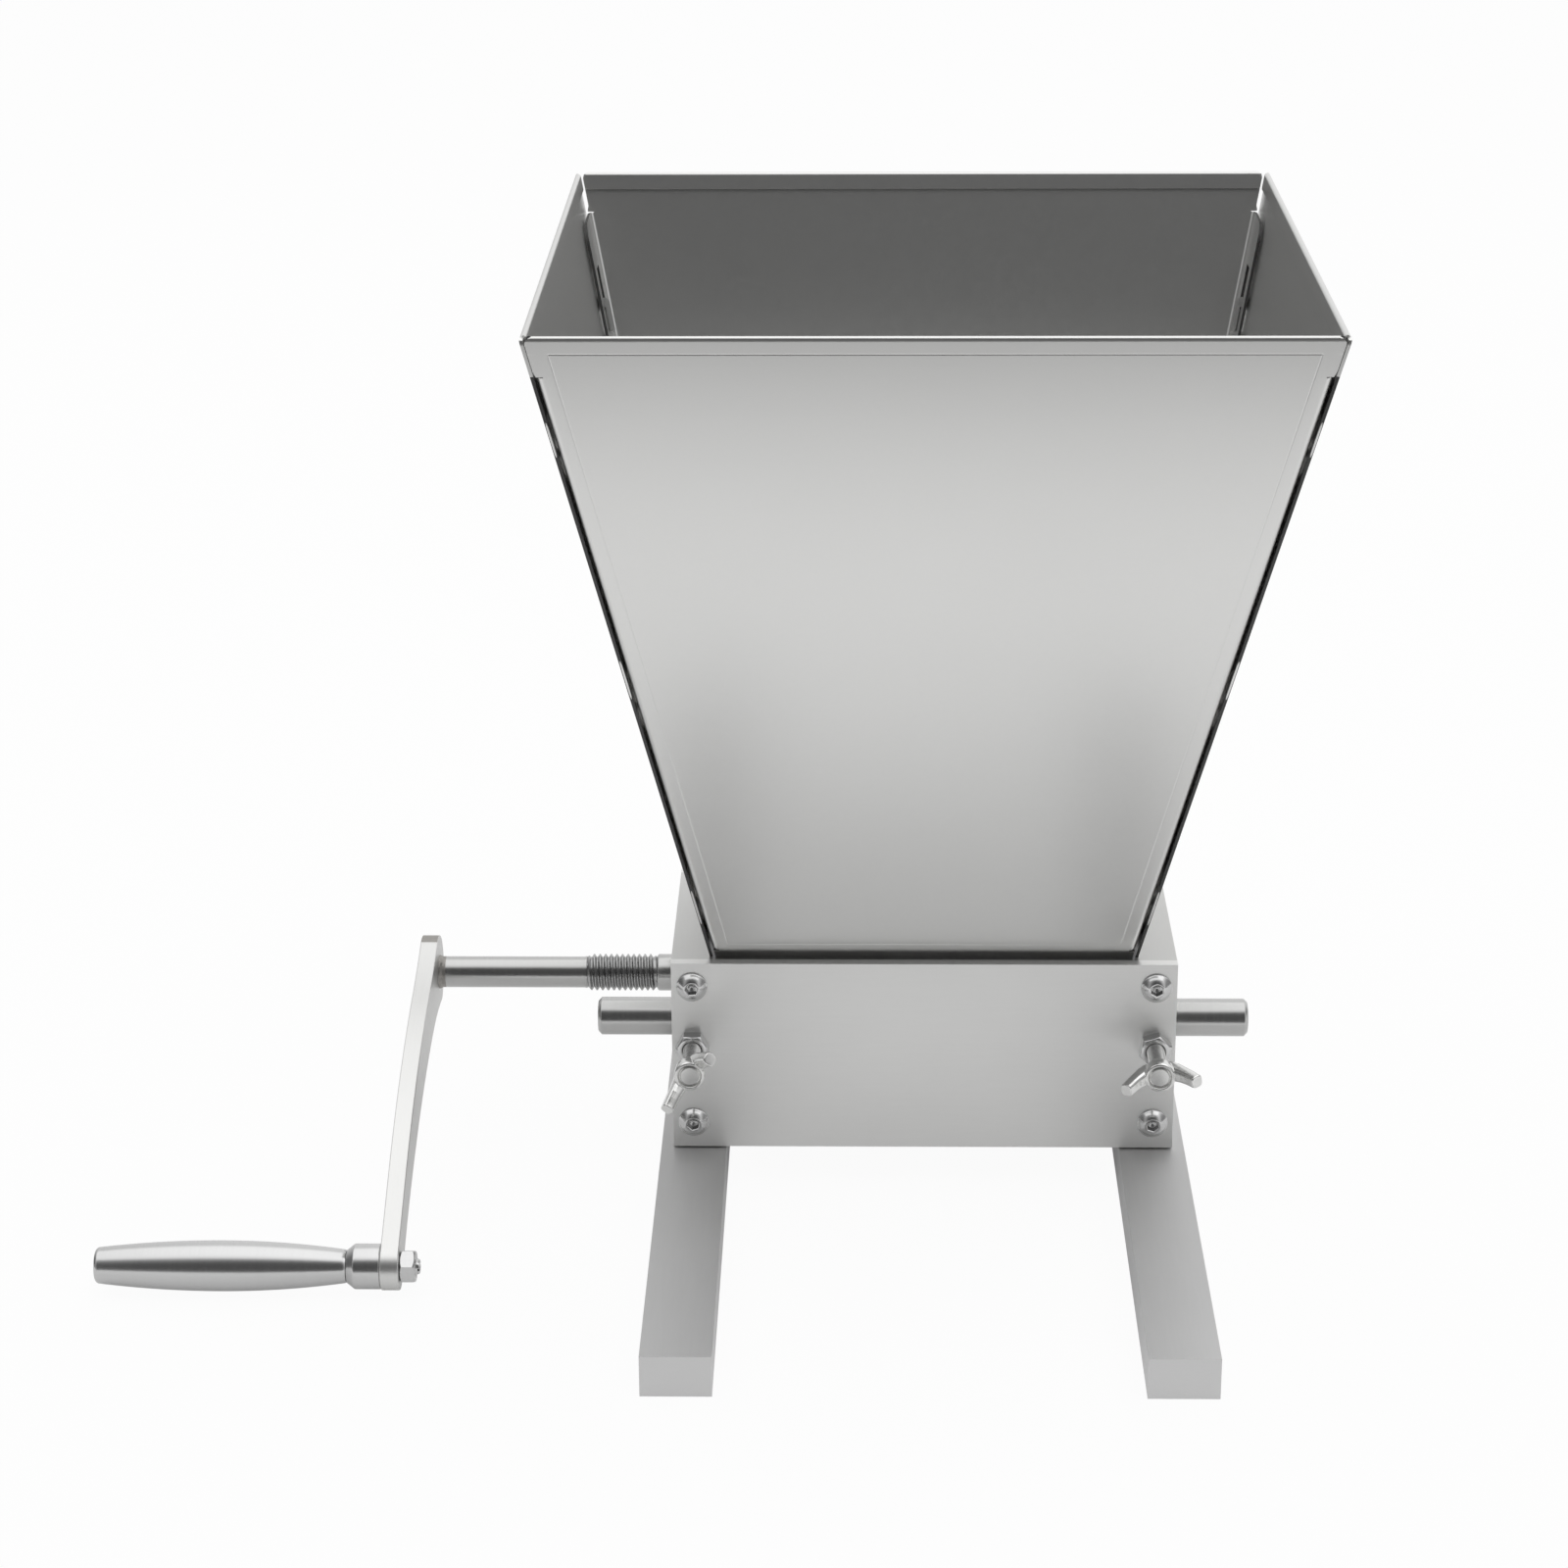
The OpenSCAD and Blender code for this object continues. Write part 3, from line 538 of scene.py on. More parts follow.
def face_panel(flip):
    """Quads of the front panel, or of the rear one if flip is -1."""
    ear_in = FRONT_EAR_IN if flip > 0 else REAR_EAR_IN
    groove_deep = GROOVE_DEEP if flip > 0 else 0.0
    ratio = math.cos(SIDE_A) / math.cos(FACE_A)
    slots = [tuple(v * ratio for v in rows["slot"]) for rows in hook_rows()]
    foot = FOOT_H * ratio
    ear = FACE_LEN - EAR_H * ratio - 0.6
    round_start = ear - FLANGE_ROUND
    groove_low, groove_high = GROOVE[len(GROOVE) // 2], FACE_LEN - GROOVE[len(GROOVE) // 2]
    extra = {foot - 0.4, foot}
    extra.update(v for slot in slots for v in slot)
    extra.update(v for g in GROOVE for v in (g, FACE_LEN - g))
    extra.update(round_start + FLANGE_ROUND * math.sin(math.radians(a)) for a in (0, 22, 45, 67, 90))
    extra.update(ear + EAR_STEP + EAR_RISE * i / 4 for i in range(5))
    extra.update(FACE_LEN * i / 12 for i in range(1, 12))
    rows = slope_rows(FACE_LEN, extra)

    def front_row(row):
        """The flat part of a row, between the two bends."""
        v, w, rounding = row
        z = PLATE_TOP + min(max(v, 0), FACE_LEN) * math.cos(FACE_A)
        half = side_at(z) - max(FLANGE_GAP + BEND_R, ear_in + rounding + EAR_ROOT if v > ear else 0)
        points = [(-half, w)]
        inside = groove_low - 0.01 < v < groove_high + 0.01 and w == 0
        across = inside and min(abs(v - groove_low), abs(v - groove_high)) < 0.01
        for i, g in enumerate(GROOVE):
            x = min(half - 0.02 * (i + 1), side_at(z) - FLANGE_GAP - g)
            deep = inside and i == len(GROOVE) // 2 or across and i > len(GROOVE) // 2
            points.append((-x, w + (groove_deep if deep else 0)))
        points.append((0.0, w + (groove_deep if across else 0)))
        return [face_point(x, v, ww) for x, ww in points + [(-x, ww) for x, ww in reversed(points[:-1])]]

    def flange_row(v):
        """Bend and flange at the right, from the front face to the free edge."""
        z = PLATE_TOP + v * math.cos(FACE_A)
        xs, yf = side_at(z) - FLANGE_GAP, face_at(z)
        points = [(xs - BEND_R + BEND_R * math.sin(math.radians(a)),
                   -yf + BEND_R - BEND_R * math.cos(math.radians(a)), z) for a in range(0, 91, 18)]
        middle = FACE_ROOT + HOOK_IN
        half = (HOOK_W / 2 + HOOK_PLAY) / math.cos(LEAN)
        free = FACE_ROOT / 2 + FLANGE_W
        over = v - round_start
        if over > 0:
            free -= FLANGE_ROUND - math.sqrt(max(0.0, FLANGE_ROUND ** 2 - over ** 2))
        return points + [(xs, -yf + d, z) for d in (middle - half, middle + half, free)]

    def ear_edge(row):
        """Inner and outer edge of the ear above the flange at a row."""
        v, w, rounding = row
        z = PLATE_TOP + min(v, FACE_LEN) * math.cos(FACE_A)
        share = min(1.0, max(0.0, (v - ear - EAR_STEP) / EAR_RISE))
        share = share * share * (3 - 2 * share)
        low, full = FLANGE_GAP + 0.1, ear_in + rounding
        return side_at(z) - max(FLANGE_GAP + BEND_R, full + EAR_ROOT), side_at(z) - low - (full - low) * share

    def foot_edge(row):
        """Inner and outer edge of the flat foot below the bend at a row."""
        z = PLATE_TOP + min(max(row[0], 0), FACE_LEN) * math.cos(FACE_A)
        return side_at(z) - FLANGE_GAP - BEND_R, side_at(z) - FLANGE_GAP - EAR_ROOT

    quads = []
    for pair in zip(rows, rows[1:]):
        quads += strip(*[front_row(row) for row in pair])
    plain = [r[0] for r in rows if r[1] == 0 and foot - 0.01 <= r[0] <= ear + 0.01]
    for lower, upper in zip(plain, plain[1:]):
        cells = strip(flange_row(lower), flange_row(upper))
        if any(low < (lower + upper) / 2 < high for low, high in slots):
            del cells[-2]
        quads += both_sides(cells)
    below = [r for r in rows if r[0] <= foot - 0.39]
    above = [r for r in rows if r[0] >= ear + EAR_STEP - 0.01]
    for used, edge in ((below, foot_edge), (above, ear_edge)):
        for pair in zip(used, used[1:]):
            quads += both_sides(strip(*[[face_point(x, row[0], row[1]) for x in edge(row)] for row in pair]))
    if flip < 0:
        quads = [tuple((x, -y, z) for x, y, z in reversed(quad)) for quad in quads]
    return quads


def hook_part(share, flip_x, flip_y):
    """One lanced hook: neck through the slot, lip pointing down behind the flange."""
    profile = ([(-0.15, HOOK_NECK)] + arc(-3.0, HOOK_NECK - 0.93, 0.93, 90, 180, 5)
               + [(-3.93, HOOK_NECK - HOOK_LEN + 0.5), (-3.7, HOOK_NECK - HOOK_LEN),
                  (-3.16, HOOK_NECK - HOOK_LEN), (-2.93, HOOK_NECK - HOOK_LEN + 0.5)]
               + [(-2.93, -0.5)] + arc(-2.43, -0.5, 0.5, 180, 90, 3)[1:] + [(-0.15, 0.0)])
    verts = []
    base_v = SIDE_LEN * share
    y0 = -face_at(PLATE_TOP + base_v * math.cos(SIDE_A)) + FACE_ROOT + HOOK_IN
    for u in (-HOOK_W / 2, HOOK_W / 2):
        for w, v in profile:
            y = y0 + u * math.cos(LEAN) - v * math.sin(LEAN)
            up = base_v + u * math.sin(LEAN) + v * math.cos(LEAN)
            verts.append(side_point(y, up, -w))
    n = len(profile)
    faces = [tuple(range(n)), tuple(range(2 * n - 1, n - 1, -1))]
    faces += [(i, i + n, (i + 1) % n + n, (i + 1) % n) for i in range(n)]
    return [(x * flip_x, y * flip_y, z) for x, y, z in verts], faces


def seam_hook(low, high, flip_x, flip_y):
    """The bright root of a hook that shows in the seam, as a long lozenge on the cut edge."""
    verts = []
    middle = (low + high) / 2
    for z, half in ((low, 0.1), (low + 1.2, 0.28), (middle, 0.34), (high - 1.2, 0.28), (high, 0.1)):
        x, y = side_at(z) - 0.55, -face_at(z)
        for across, out in ((-half, 0.1), (-half, -0.12), (0.0, -0.2), (half, -0.12), (half, 0.1)):
            verts.append((flip_x * (x + across), flip_y * (y + out), z))
    return verts, loft_faces(5, 5) + [(4, 3, 2, 1, 0), (20, 21, 22, 23, 24)]


def side_panel(flip):
    """Quads of the right panel, or of the left one if flip is -1."""
    windows = [rows["window"] for rows in hook_rows()]
    extra = {(EDGE_SHADE_TOP_Z - PLATE_TOP) / math.cos(SIDE_A)}
    extra.update(v for window in windows for v in window)
    extra.update(SIDE_LEN * i / 12 for i in range(1, 12))
    rows = slope_rows(SIDE_LEN, extra, 0.7)

    def side_row(row):
        """A row from the front edge to the rear one, with the windows' edges."""
        v, w, rounding = row
        reach = face_at(PLATE_TOP + min(max(v, 0), SIDE_LEN) * math.cos(SIDE_A))
        middle = reach - FACE_ROOT - HOOK_IN
        half = HOOK_W / 2 / math.cos(LEAN)
        edge = reach - rounding
        if w > FOLD_R:
            edge = min(edge, reach - FACE_ROOT * 3)
        points = [-edge, -middle - half, -middle + half, 0.0]
        return [side_point(y, v, w) for y in points + [-y for y in reversed(points[:-1])]]

    quads = []
    for lower, upper in zip(rows, rows[1:]):
        cells = strip(side_row(lower), side_row(upper))
        if lower[1] == 0 and any(low < (lower[0] + upper[0]) / 2 < high for low, high in windows):
            cells = cells[:1] + cells[2:-2] + cells[-1:]
        quads += cells
    if flip < 0:
        quads = [tuple((-x, y, z) for x, y, z in reversed(quad)) for quad in quads]
    return quads


sheet_object("hopper_front_sheet", face_panel(1), "hopper_front_panel")
sheet_object("hopper_rear_sheet", face_panel(-1), "hopper_rear_panel")
for flip, word in ((1, "right"), (-1, "left")):
    hooks = [hook_part(share, flip, way) for share in HOOK_SHARES for way in (1, -1)]
    hooks += [seam_hook(low, high, flip, way) for low, high in HOOK_SEEN for way in (1, -1)]
    sheet_object(f"hopper_{word}_sheet", side_panel(flip), f"hopper_{word}_panel", hooks, EDGE_SHADE_TOP_Z)


# Round pieces and fasteners

def wave(x, a, r):
    """A turned surface that is a little out of true, so that its highlights aren't ruled lines."""
    return r + 0.006 * math.sin(3 * a + 0.31 * x) + 0.004 * math.sin(2.3 * x + a)


def rounded(points, radius):
    """A profile with its corners rounded in three steps."""
    out = [points[0]]
    for before, here, after in zip(points, points[1:], points[2:]):
        a, p, b = Vector(before), Vector(here), Vector(after)
        cut = min(radius, (a - p).length * 0.45, (b - p).length * 0.45)
        start, end = p + (a - p).normalized() * cut, p + (b - p).normalized() * cut
        for i in range(4):
            t = i / 3
            q = start * (1 - t) ** 2 + p * (2 * t * (1 - t)) + end * t ** 2
            out.append((q.x, q.y))
    return out + [points[-1]]


def tube(rings, closed=False):
    """Rings of (x, radius) about X as points and faces. If closed, the last ring joins the first."""
    n = len(rings[0])
    verts = []
    for ring in rings:
        for i, (x, r) in enumerate(ring):
            a = TAU * i / n
            verts.append((x, r * math.cos(a), r * math.sin(a)))
    return verts, loft_faces(n, len(rings), closed)


def ring_lathe(profile, segments):
    """A closed profile turned about X, for pieces with a bore."""
    return tube([[point] * segments for point in profile], True)


def thread(x0, x1, major, minor, pitch, segments):
    """A helical thread along X that fades out at both ends."""
    shape = ((0.0, 1.0), (0.16, 1.0), (0.5, 0.0), (0.66, 0.0))
    turns = int((x1 - x0) / pitch) + 2
    verts, faces = [], []
    rows = turns * len(shape) + 1
    for k in range(rows):
        share, height = shape[k % len(shape)]
        for i in range(segments):
            x = x0 + pitch * (k // len(shape) - 1 + share + i / segments)
            x = min(max(x, x0), x1)
            fade = min(1.0, (x - x0) / (0.8 * pitch), (x1 - x) / (0.8 * pitch))
            r = minor + (major - minor) * height * fade
            a = TAU * i / segments
            verts.append((x, r * math.cos(a), r * math.sin(a)))
    step = len(shape)
    for k in range(rows - 1):
        for i in range(segments):
            j, up = (i + 1, k) if i + 1 < segments else (0, k + step)
            if up + 1 >= rows:
                continue
            lower, upper = k * segments + i, up * segments + j
            faces.append((lower, upper, upper + segments, lower + segments))
    return verts, faces


def hex_radius(a, across):
    """Radius of a hexagon at an angle, its corners at multiples of 60 degrees."""
    return across / 2 / math.cos((a % (math.pi / 3)) - math.pi / 6)


def hex_nut(across, height, bore):
    """A nut along X with turned off corners and a countersunk bore."""
    flat = across / 2 * 0.955
    bevel = math.tan(math.radians(30))
    radii = [hex_radius(TAU * i / MEDIUM, across) for i in range(MEDIUM)]

    def corners(push, inset):
        """A ring along the turned off corners."""
        return [((r - flat) * bevel + push, r - inset) for r in radii]

    half = [(0.55, bore), (0.0, bore + 0.55), (0.0, flat - 0.08), (0.03, flat)]
    half = [[point] * MEDIUM for point in half] + [corners(0.0, 0.12), corners(0.18, 0.0)]
    return tube(half + [[(height - x, r) for x, r in ring] for ring in reversed(half)], True)


def socket_screw(head, socket, depth, shank, length):
    """A screw along X with its head from zero upwards, a hexagon socket and a threaded shank.

    The head is a list of (x, radius) from its outer edge to its crown."""
    crown = head[-1][0]
    rings = [[point] * MEDIUM for point in head]
    for down, out in ((0.0, 0.42), (0.02, 0.22), (0.22, 0.0), (depth, 0.0)):
        rings.append([(crown - down, hex_radius(TAU * i / MEDIUM, socket) + out) for i in range(MEDIUM)])
    rings.append([(crown - depth, socket * 0.36)] * MEDIUM)
    rings.append([(crown - depth - 0.7, socket * 0.10)] * MEDIUM)
    verts, faces = tube(rings)
    last = (len(rings) - 1) * MEDIUM
    verts.append((crown - depth - 0.75, 0.0, 0.0))
    faces += [(last + i, last + (i + 1) % MEDIUM, len(verts) - 1) for i in range(MEDIUM)]
    seat, root, end = head[0][0], shank * 0.82, -length + 0.9
    under = lathe([head[0], (seat, shank + 0.25), (seat - 0.35, shank)], MEDIUM)
    plain = lathe([(seat - 0.35, shank), (seat - 2.4, shank), (seat - 2.9, root)], MEDIUM)
    spiral = thread(end, seat - 2.9, shank, root, 1.0, MEDIUM)
    tip = lathe([(end, root), (-length + 0.3, shank * 0.80), (-length, shank * 0.66), (-length, 0)], MEDIUM)
    return joined((verts, faces), under, plain, spiral, tip)


def button_head():
    """Outer edge to crown of a button head."""
    head_r, head_h, flat_r = 5.25, 3.3, 2.45
    dome_r = (head_h ** 2 + head_r ** 2) / (2 * head_h)
    dome = [(0.0, head_r - 0.12), (0.12, head_r - 0.01), (0.42, head_r - 0.03)]
    for i in range(1, 11):
        r = (head_r - 0.12) * (1 - i / 11) + flat_r * i / 11
        dome.append((head_h - dome_r + math.sqrt(dome_r ** 2 - r ** 2), r))
    return dome


def zone(obj, x0, x1, material):
    """Another material between two places along X."""
    obj.data.materials.append(material)
    for poly in obj.data.polygons:
        if x0 < poly.center.x / MM - MILL_X < x1:
            poly.material_index = len(obj.data.materials) - 1


def button_screws(name, node, way):
    """The four button head screws of the front plate (way 1) or rear plate (way -1)."""
    parts = []
    places = [(x, z) for z in SCREW_Z for x in (-SIDE_X, SIDE_X)]
    for (x, z), turn in zip(places, (17, 41, 5, 29)):
        verts, faces = to_front(socket_screw(button_head(), 3.7, 1.75, M6_R, 16.0), 0, 0, 0, turn)
        parts.append(([(x + vx, way * (FRONT_Y + vy), z + vz) for vx, vy, vz in verts], faces))
    mesh_object(name, joined(*parts), node, "frame", BRIGHT, 32)


button_screws("front_button_screws", "front_plate_screws", 1)
button_screws("rear_button_screws", "rear_plate_screws", -1)


# The four leg screws, driven from below
cap_head = [(0.0, 4.6), (0.1, 4.92), (0.4, 5.0), (5.5, 5.0), (5.85, 4.85), (6.0, 4.5), (6.0, 3.2)]
cap_verts, cap_faces = socket_screw(cap_head, 4.0, 3.0, M6_R, 20.0)
parts = [([(x + vy, y + vz, 6.1 - vx) for vx, vy, vz in cap_verts], cap_faces)
         for x in (-SIDE_X, SIDE_X) for y in (-20.5, 20.5)]
mesh_object("leg_cap_screws", joined(*parts), "leg_screws", "frame", BRIGHT, 32)


NUT = hex_nut(10.0, 5.0, M6_R)
for name, node, body, part in (
        ("hex_nut_left", "lock_nut_left", "nut_left", to_front(NUT, -SIDE_X, FRONT_Y, AXLE_Z)),
        ("hex_nut_right", "lock_nut_right", "nut_right", to_front(NUT, SIDE_X, FRONT_Y, AXLE_Z, 17)),
        ("hex_nut_grip", "grip_nut", "drive", along_x(NUT, ARM_X + 0.1, GRIP_Y, GRIP_Z, 34))):
    mesh_object(name, part, node, body, BRIGHT, 28)


# Wing bolts

# Where the hub's rear face stands, where the bolt's tip ends behind it, and the casting's finest detail
WING_Y = -61.0
WING_TIP = 6.5 - 36.9
CAST_GRAIN = 0.14


def wing_loft(flip):
    """One cast wing: sections along a path of (radius, height) that leaves the hub outwards and forwards."""
    path = [(2.6, 1.0), (4.0, 2.1), (5.3, 3.4), (6.7, 5.0), (8.3, 7.0), (9.8, 9.2), (11.0, 11.3)]
    path = [Vector(p) for p in path]
    wide = [2.2, 2.6, 2.8, 2.55, 2.35, 2.25, 2.15]
    thick = [3.0, 3.0, 2.75, 2.5, 2.3, 2.2, 2.15]
    sides = 24
    rings = []

    def section(centre, way, a_half, b_half):
        """A ring of rounded square shape across the path."""
        across = Vector((way.y, -way.x))
        ring = []
        for i in range(sides):
            a = TAU * i / sides
            c, s = math.cos(a), math.sin(a)
            bulge = (abs(c) ** 3.2 + abs(s) ** 3.2) ** (-1 / 3.2)
            p = centre + across * (a_half * c * bulge)
            ring.append((p.y, p.x, b_half * s * bulge))
        rings.append(ring)

    ways = [(b - a).normalized() for a, b in zip(path[:1] + path, path[1:] + path[-1:])]
    ways[-1] = Vector((0.7, 1.0)).normalized()
    for p, way, w, t in zip(path, ways, wide, thick):
        section(p, way, w, t)
    for push, share in ((1.1, 1.0), (1.42, 0.96), (1.58, 0.86), (1.6, 0.5)):
        section(path[-1] + ways[-1] * push, ways[-1], wide[-1] * share, thick[-1] * share)
    verts = [v for ring in rings for v in ring]
    faces = loft_faces(sides, len(rings))
    for base, ring, order in ((0, rings[0], -1), (len(verts) - sides, rings[-1], 1)):
        verts.append(tuple(sum((Vector(v) for v in ring), Vector()) / sides))
        middle = len(verts) - 1
        faces += [(base + i, base + (i + 1) % sides, middle)[::order] for i in range(sides)]
    if flip:
        verts = [(x, -y, -z) for x, y, z in verts]
    return verts, faces


def helper(name, part):
    """A closed part as an object of its own, in millimetres, only to work on."""
    mesh = bpy.data.meshes.new(name)
    mesh.from_pydata(part[0], [], part[1])
    cleaned(mesh, JOIN)
    return linked(name, mesh)


def part_of(mesh):
    """A mesh's points and faces, the mesh removed."""
    part = [tuple(v.co) for v in mesh.vertices], [tuple(p.vertices) for p in mesh.polygons]
    bpy.data.meshes.remove(mesh)
    return part


def fused(name, parts):
    """Closed parts grown into one casting by a fine remesh, smoothed a little."""
    raw = helper(name + "_raw", joined(*parts))
    cast = raw.modifiers.new("cast", "REMESH")
    cast.mode = "VOXEL"
    cast.voxel_size = CAST_GRAIN
    calm = raw.modifiers.new("calm", "SMOOTH")
    calm.factor = 0.5
    calm.iterations = 1
    thin = raw.modifiers.new("thin", "DECIMATE")
    thin.ratio = 0.35
    return part_of(evaluated(raw))


def wing_piece(name, node, body, x, turn):
    """A wing bolt: cast hub and wings on a threaded bolt."""
    hub = rounded([(0.0, 0.0), (0.0, 4.3), (1.9, 5.1), (4.9, 5.3), (6.1, 5.15), (6.55, 4.7), (6.55, 4.1),
                   (5.9, 3.75)], 0.4) + [(5.5, 3.7), (5.5, 0.0)]
    cast = fused(name, [lathe(hub, MEDIUM), wing_loft(False), wing_loft(True)])
    end = lathe([(5.2, 0.0), (5.2, 3.15), (6.2, 3.15), (6.45, 2.95), (6.5, 1.2), (6.5, 0.0)], MEDIUM)
    neck = lathe([(0.6, 0.0), (0.6, 2.95), (-0.5, 2.9), (-0.9, M6_ROOT)], COARSE)
    spiral = thread(WING_TIP + 1.0, -0.9, M6_R, M6_ROOT, 1.0, COARSE)
    tip = [(WING_TIP + 1.0, M6_ROOT), (WING_TIP + 0.3, 2.42), (WING_TIP, 2.1), (WING_TIP, 0)]
    part = to_front(joined(cast, end, neck, spiral, lathe(tip, COARSE)), x, WING_Y, AXLE_Z, turn)
    mesh_object(name, part, node, body, CAST, 40)


wing_piece("wing_left", "wing_bolt_left", "wing_left", -SIDE_X, 52)
wing_piece("wing_right", "wing_bolt_right", "wing_right", SIDE_X, 8)


# Shafts and rollers

# The turned down neck's start and radius, and the ends of the cut thread, its root and its runout
NECK_X, NECK_R = -169.8, 5.5
THREAD_X = (-118.5, -93.4)
THREAD_ROOT, RUNOUT_R = 5.45, 5.62
# Rollers and their knurl: depth, points around and rows along
ROLLER_LEN, ROLLER_R = 139.9, 18.0
KNURL_DEEP, KNURL_AROUND, KNURL_ALONG = 0.62, 92, 110


# Drive shaft: riveted head, spigot, brazed ring, turned neck, thread and journal
low, high = THREAD_X
braze = [(ARM_X, 5.95), (-170.75, 5.92), (-170.3, 5.8), (-169.95, 5.58), (NECK_X, NECK_R)]
head = rounded([(-178.1, 0.0), (-178.1, 3.6), (-177.75, 5.1), (-177.1, 5.5), (-177.1, 4.0), (-171.2, 4.0),
                (ARM_X, 4.0)], 0.25)
neck = [(NECK_X, NECK_R), (-168.6, NECK_R)] + [(NECK_X + 49.7 * i / 24, NECK_R) for i in range(1, 25)]
neck += [(-120.0, NECK_R), (-119.12, NECK_R), (-119.1, RUNOUT_R), (-118.6, RUNOUT_R)]
journal = [(high, THREAD_ROOT), (high, 6.0), (-93.1, 6.38), (-92.8, SHAFT_R)]
journal += [(x, SHAFT_R) for x in (-88.0, -60.0, 0.0, 60.0, 84.6)]
journal += [(85.05, 6.3), (85.2, 6.0), (85.2, 1.6), (84.4, 0.8), (84.2, 0.0)]
step, start = [(-118.6, RUNOUT_R), (low, RUNOUT_R)], [(low, RUNOUT_R), (low, THREAD_ROOT)]
parts = [lathe(head + braze, FINE), lathe(neck, FINE, wave), lathe(step, FINE), lathe(start, FINE),
         thread(low, high, SHAFT_R, THREAD_ROOT, 2.0, FINE), lathe(journal, FINE)]
part = along_x(joined(*parts), 0, DRIVE_Y, AXLE_Z)
obj = mesh_object("drive_shaft_turned", part, "drive_shaft", "drive", TURNED, 35)
zone(obj, -171.2, -168.6, BRAZE)
zone(obj, low, high, THREAD)


# Idler axle, chamfered, with centred ends
half = [(112.0, 0.0), (110.9, 0.75), (110.9, 0.9), (112.0, 1.75), (112.0, 5.2), (111.92, 5.36),
        (110.9, 6.42), (110.7, SHAFT_R)]
half += [(x, SHAFT_R) for x in (108, 104, 100, 96, 92, 88, 80, 60, 30)]
profile = half + [(0.0, SHAFT_R)] + [(-x, r) for x, r in reversed(half)]
part = lathe(profile, FINE, lambda x, a, r: wave(x, a, r) if r > 6.45 else r)
mesh_object("idler_axle_turned", along_x(part, 0, IDLER_Y, AXLE_Z), "idler_axle", "idler", TURNED,
            18)


def knurled():
    """A roller with a diamond knurl, chamfered plain ends and a bore."""
    verts, faces = [], []
    half, plain = ROLLER_LEN / 2, 3.0
    reach, around = half - plain, KNURL_AROUND
    for j in range(KNURL_ALONG + 1):
        for i in range(around):
            peak = (i + j) % 2 == 1 and 0 < j < KNURL_ALONG
            r = ROLLER_R if peak else ROLLER_R - KNURL_DEEP
            a = TAU * i / around
            verts.append((2 * reach * j / KNURL_ALONG - reach, r * math.cos(a), r * math.sin(a)))
    for j in range(KNURL_ALONG):
        for i in range(around):
            k = (i + 1) % around
            a, b, c, d = j * around + i, j * around + k, (j + 1) * around + k, (j + 1) * around + i
            faces += [(a, b, c), (a, c, d)] if (i + j) % 2 == 0 else [(a, b, d), (b, c, d)]
    end = [(reach, ROLLER_R - KNURL_DEEP), (reach + 0.15, ROLLER_R - 0.3), (reach + 0.5, ROLLER_R - 0.25),
           (half - 1.0, ROLLER_R - 0.25), (half - 0.1, ROLLER_R - 1.05), (half, ROLLER_R - 1.3),
           (half, SHAFT_R + 0.4), (half - 0.4, SHAFT_R + 0.02)]
    ends = [lathe([(s * x, r) for x, r in end], around) for s in (-1, 1)]
    bore = lathe([(0.4 - half, SHAFT_R + 0.02), (half - 0.4, SHAFT_R + 0.02)], around)
    return joined((verts, faces), bore, *ends)


for name, node, body, y in (("drive_roller_knurled", "drive_roller", "drive", DRIVE_Y),
                            ("idler_roller_knurled", "idler_roller", "idler", IDLER_Y)):
    mesh_object(name, along_x(knurled(), 0, y, AXLE_Z), node, body, ROLLER, 24)


# Crank

ARM_T, CRANK_LEN = 6.0, 145.0
# Width of the arm at its root and tip, the radii of its eyes there, and the share of its length they widen
ARM_ROOT_W, ARM_TIP_W = 20, 12.5
ROOT_R, TIP_R, EYE_SHARE = 13.0, 7.7, 0.2
# How far the arm's middle line bows out, and how high above the shaft its rim is dark
ARM_BOW = 8.8
DARK_ABOVE = 12.7
CRANK_ANGLE = math.asin((AXLE_Z - GRIP_Z) / CRANK_LEN)
# The grip's outer end and length, its largest diameter and those at its outer and inner end
GRIP_X, GRIP_LEN = -270.5, 82.0
GRIP_BELLY, GRIP_OUTER, GRIP_INNER = 16.5, 11.6, 10.8
# The collar's outer end, and where the bolt's thread begins and ends
COLLAR_X = -188.4
BOLT_THREAD, BOLT_END = -175.6, ARM_X + 6.4


def arm_edge(share, side):
    """Half of the arm's outline along its bowed middle line, wider at the eyes."""
    root, tip = max(0, 1 - share / EYE_SHARE), max(0, 1 - (1 - share) / EYE_SHARE)
    half = (ARM_ROOT_W + (ARM_TIP_W - ARM_ROOT_W) * share) / 2
    half += (ROOT_R - ARM_ROOT_W / 2) * root * root + (TIP_R - ARM_TIP_W / 2) * tip * tip
    return share * CRANK_LEN, side * half - 4 * ARM_BOW * share * (1 - share)


# Flat arm with rounded edges and the holes of its spigot and bolt
steps = 56
outline = [arm_edge(i / steps, 1) for i in range(steps + 1)]
outline += arc(CRANK_LEN, 0, TIP_R, 90, -90, 24)[1:-1]
outline += [arm_edge(i / steps, -1) for i in range(steps, -1, -1)]
outline += arc(0, 0, ROOT_R, 270, 90, 40)[1:-1]
holes = [arc(0, 0, 4.02, 0, 360, 40)[:-1], arc(CRANK_LEN, 0, 3.04, 0, 360, 32)[:-1]]
bm = bmesh.new()
edges = []
c, s = math.cos(math.pi + CRANK_ANGLE), math.sin(math.pi + CRANK_ANGLE)
for loop in [outline] + holes:
    turned = [(ARM_X - ARM_T, DRIVE_Y + u * c - w * s, AXLE_Z + u * s + w * c) for u, w in loop]
    made = [bm.verts.new(placed(point)) for point in turned]
    edges += [bm.edges.new((a, b)) for a, b in zip(made, made[1:] + made[:1])]
bmesh.ops.triangle_fill(bm, edges=edges, use_beauty=True)
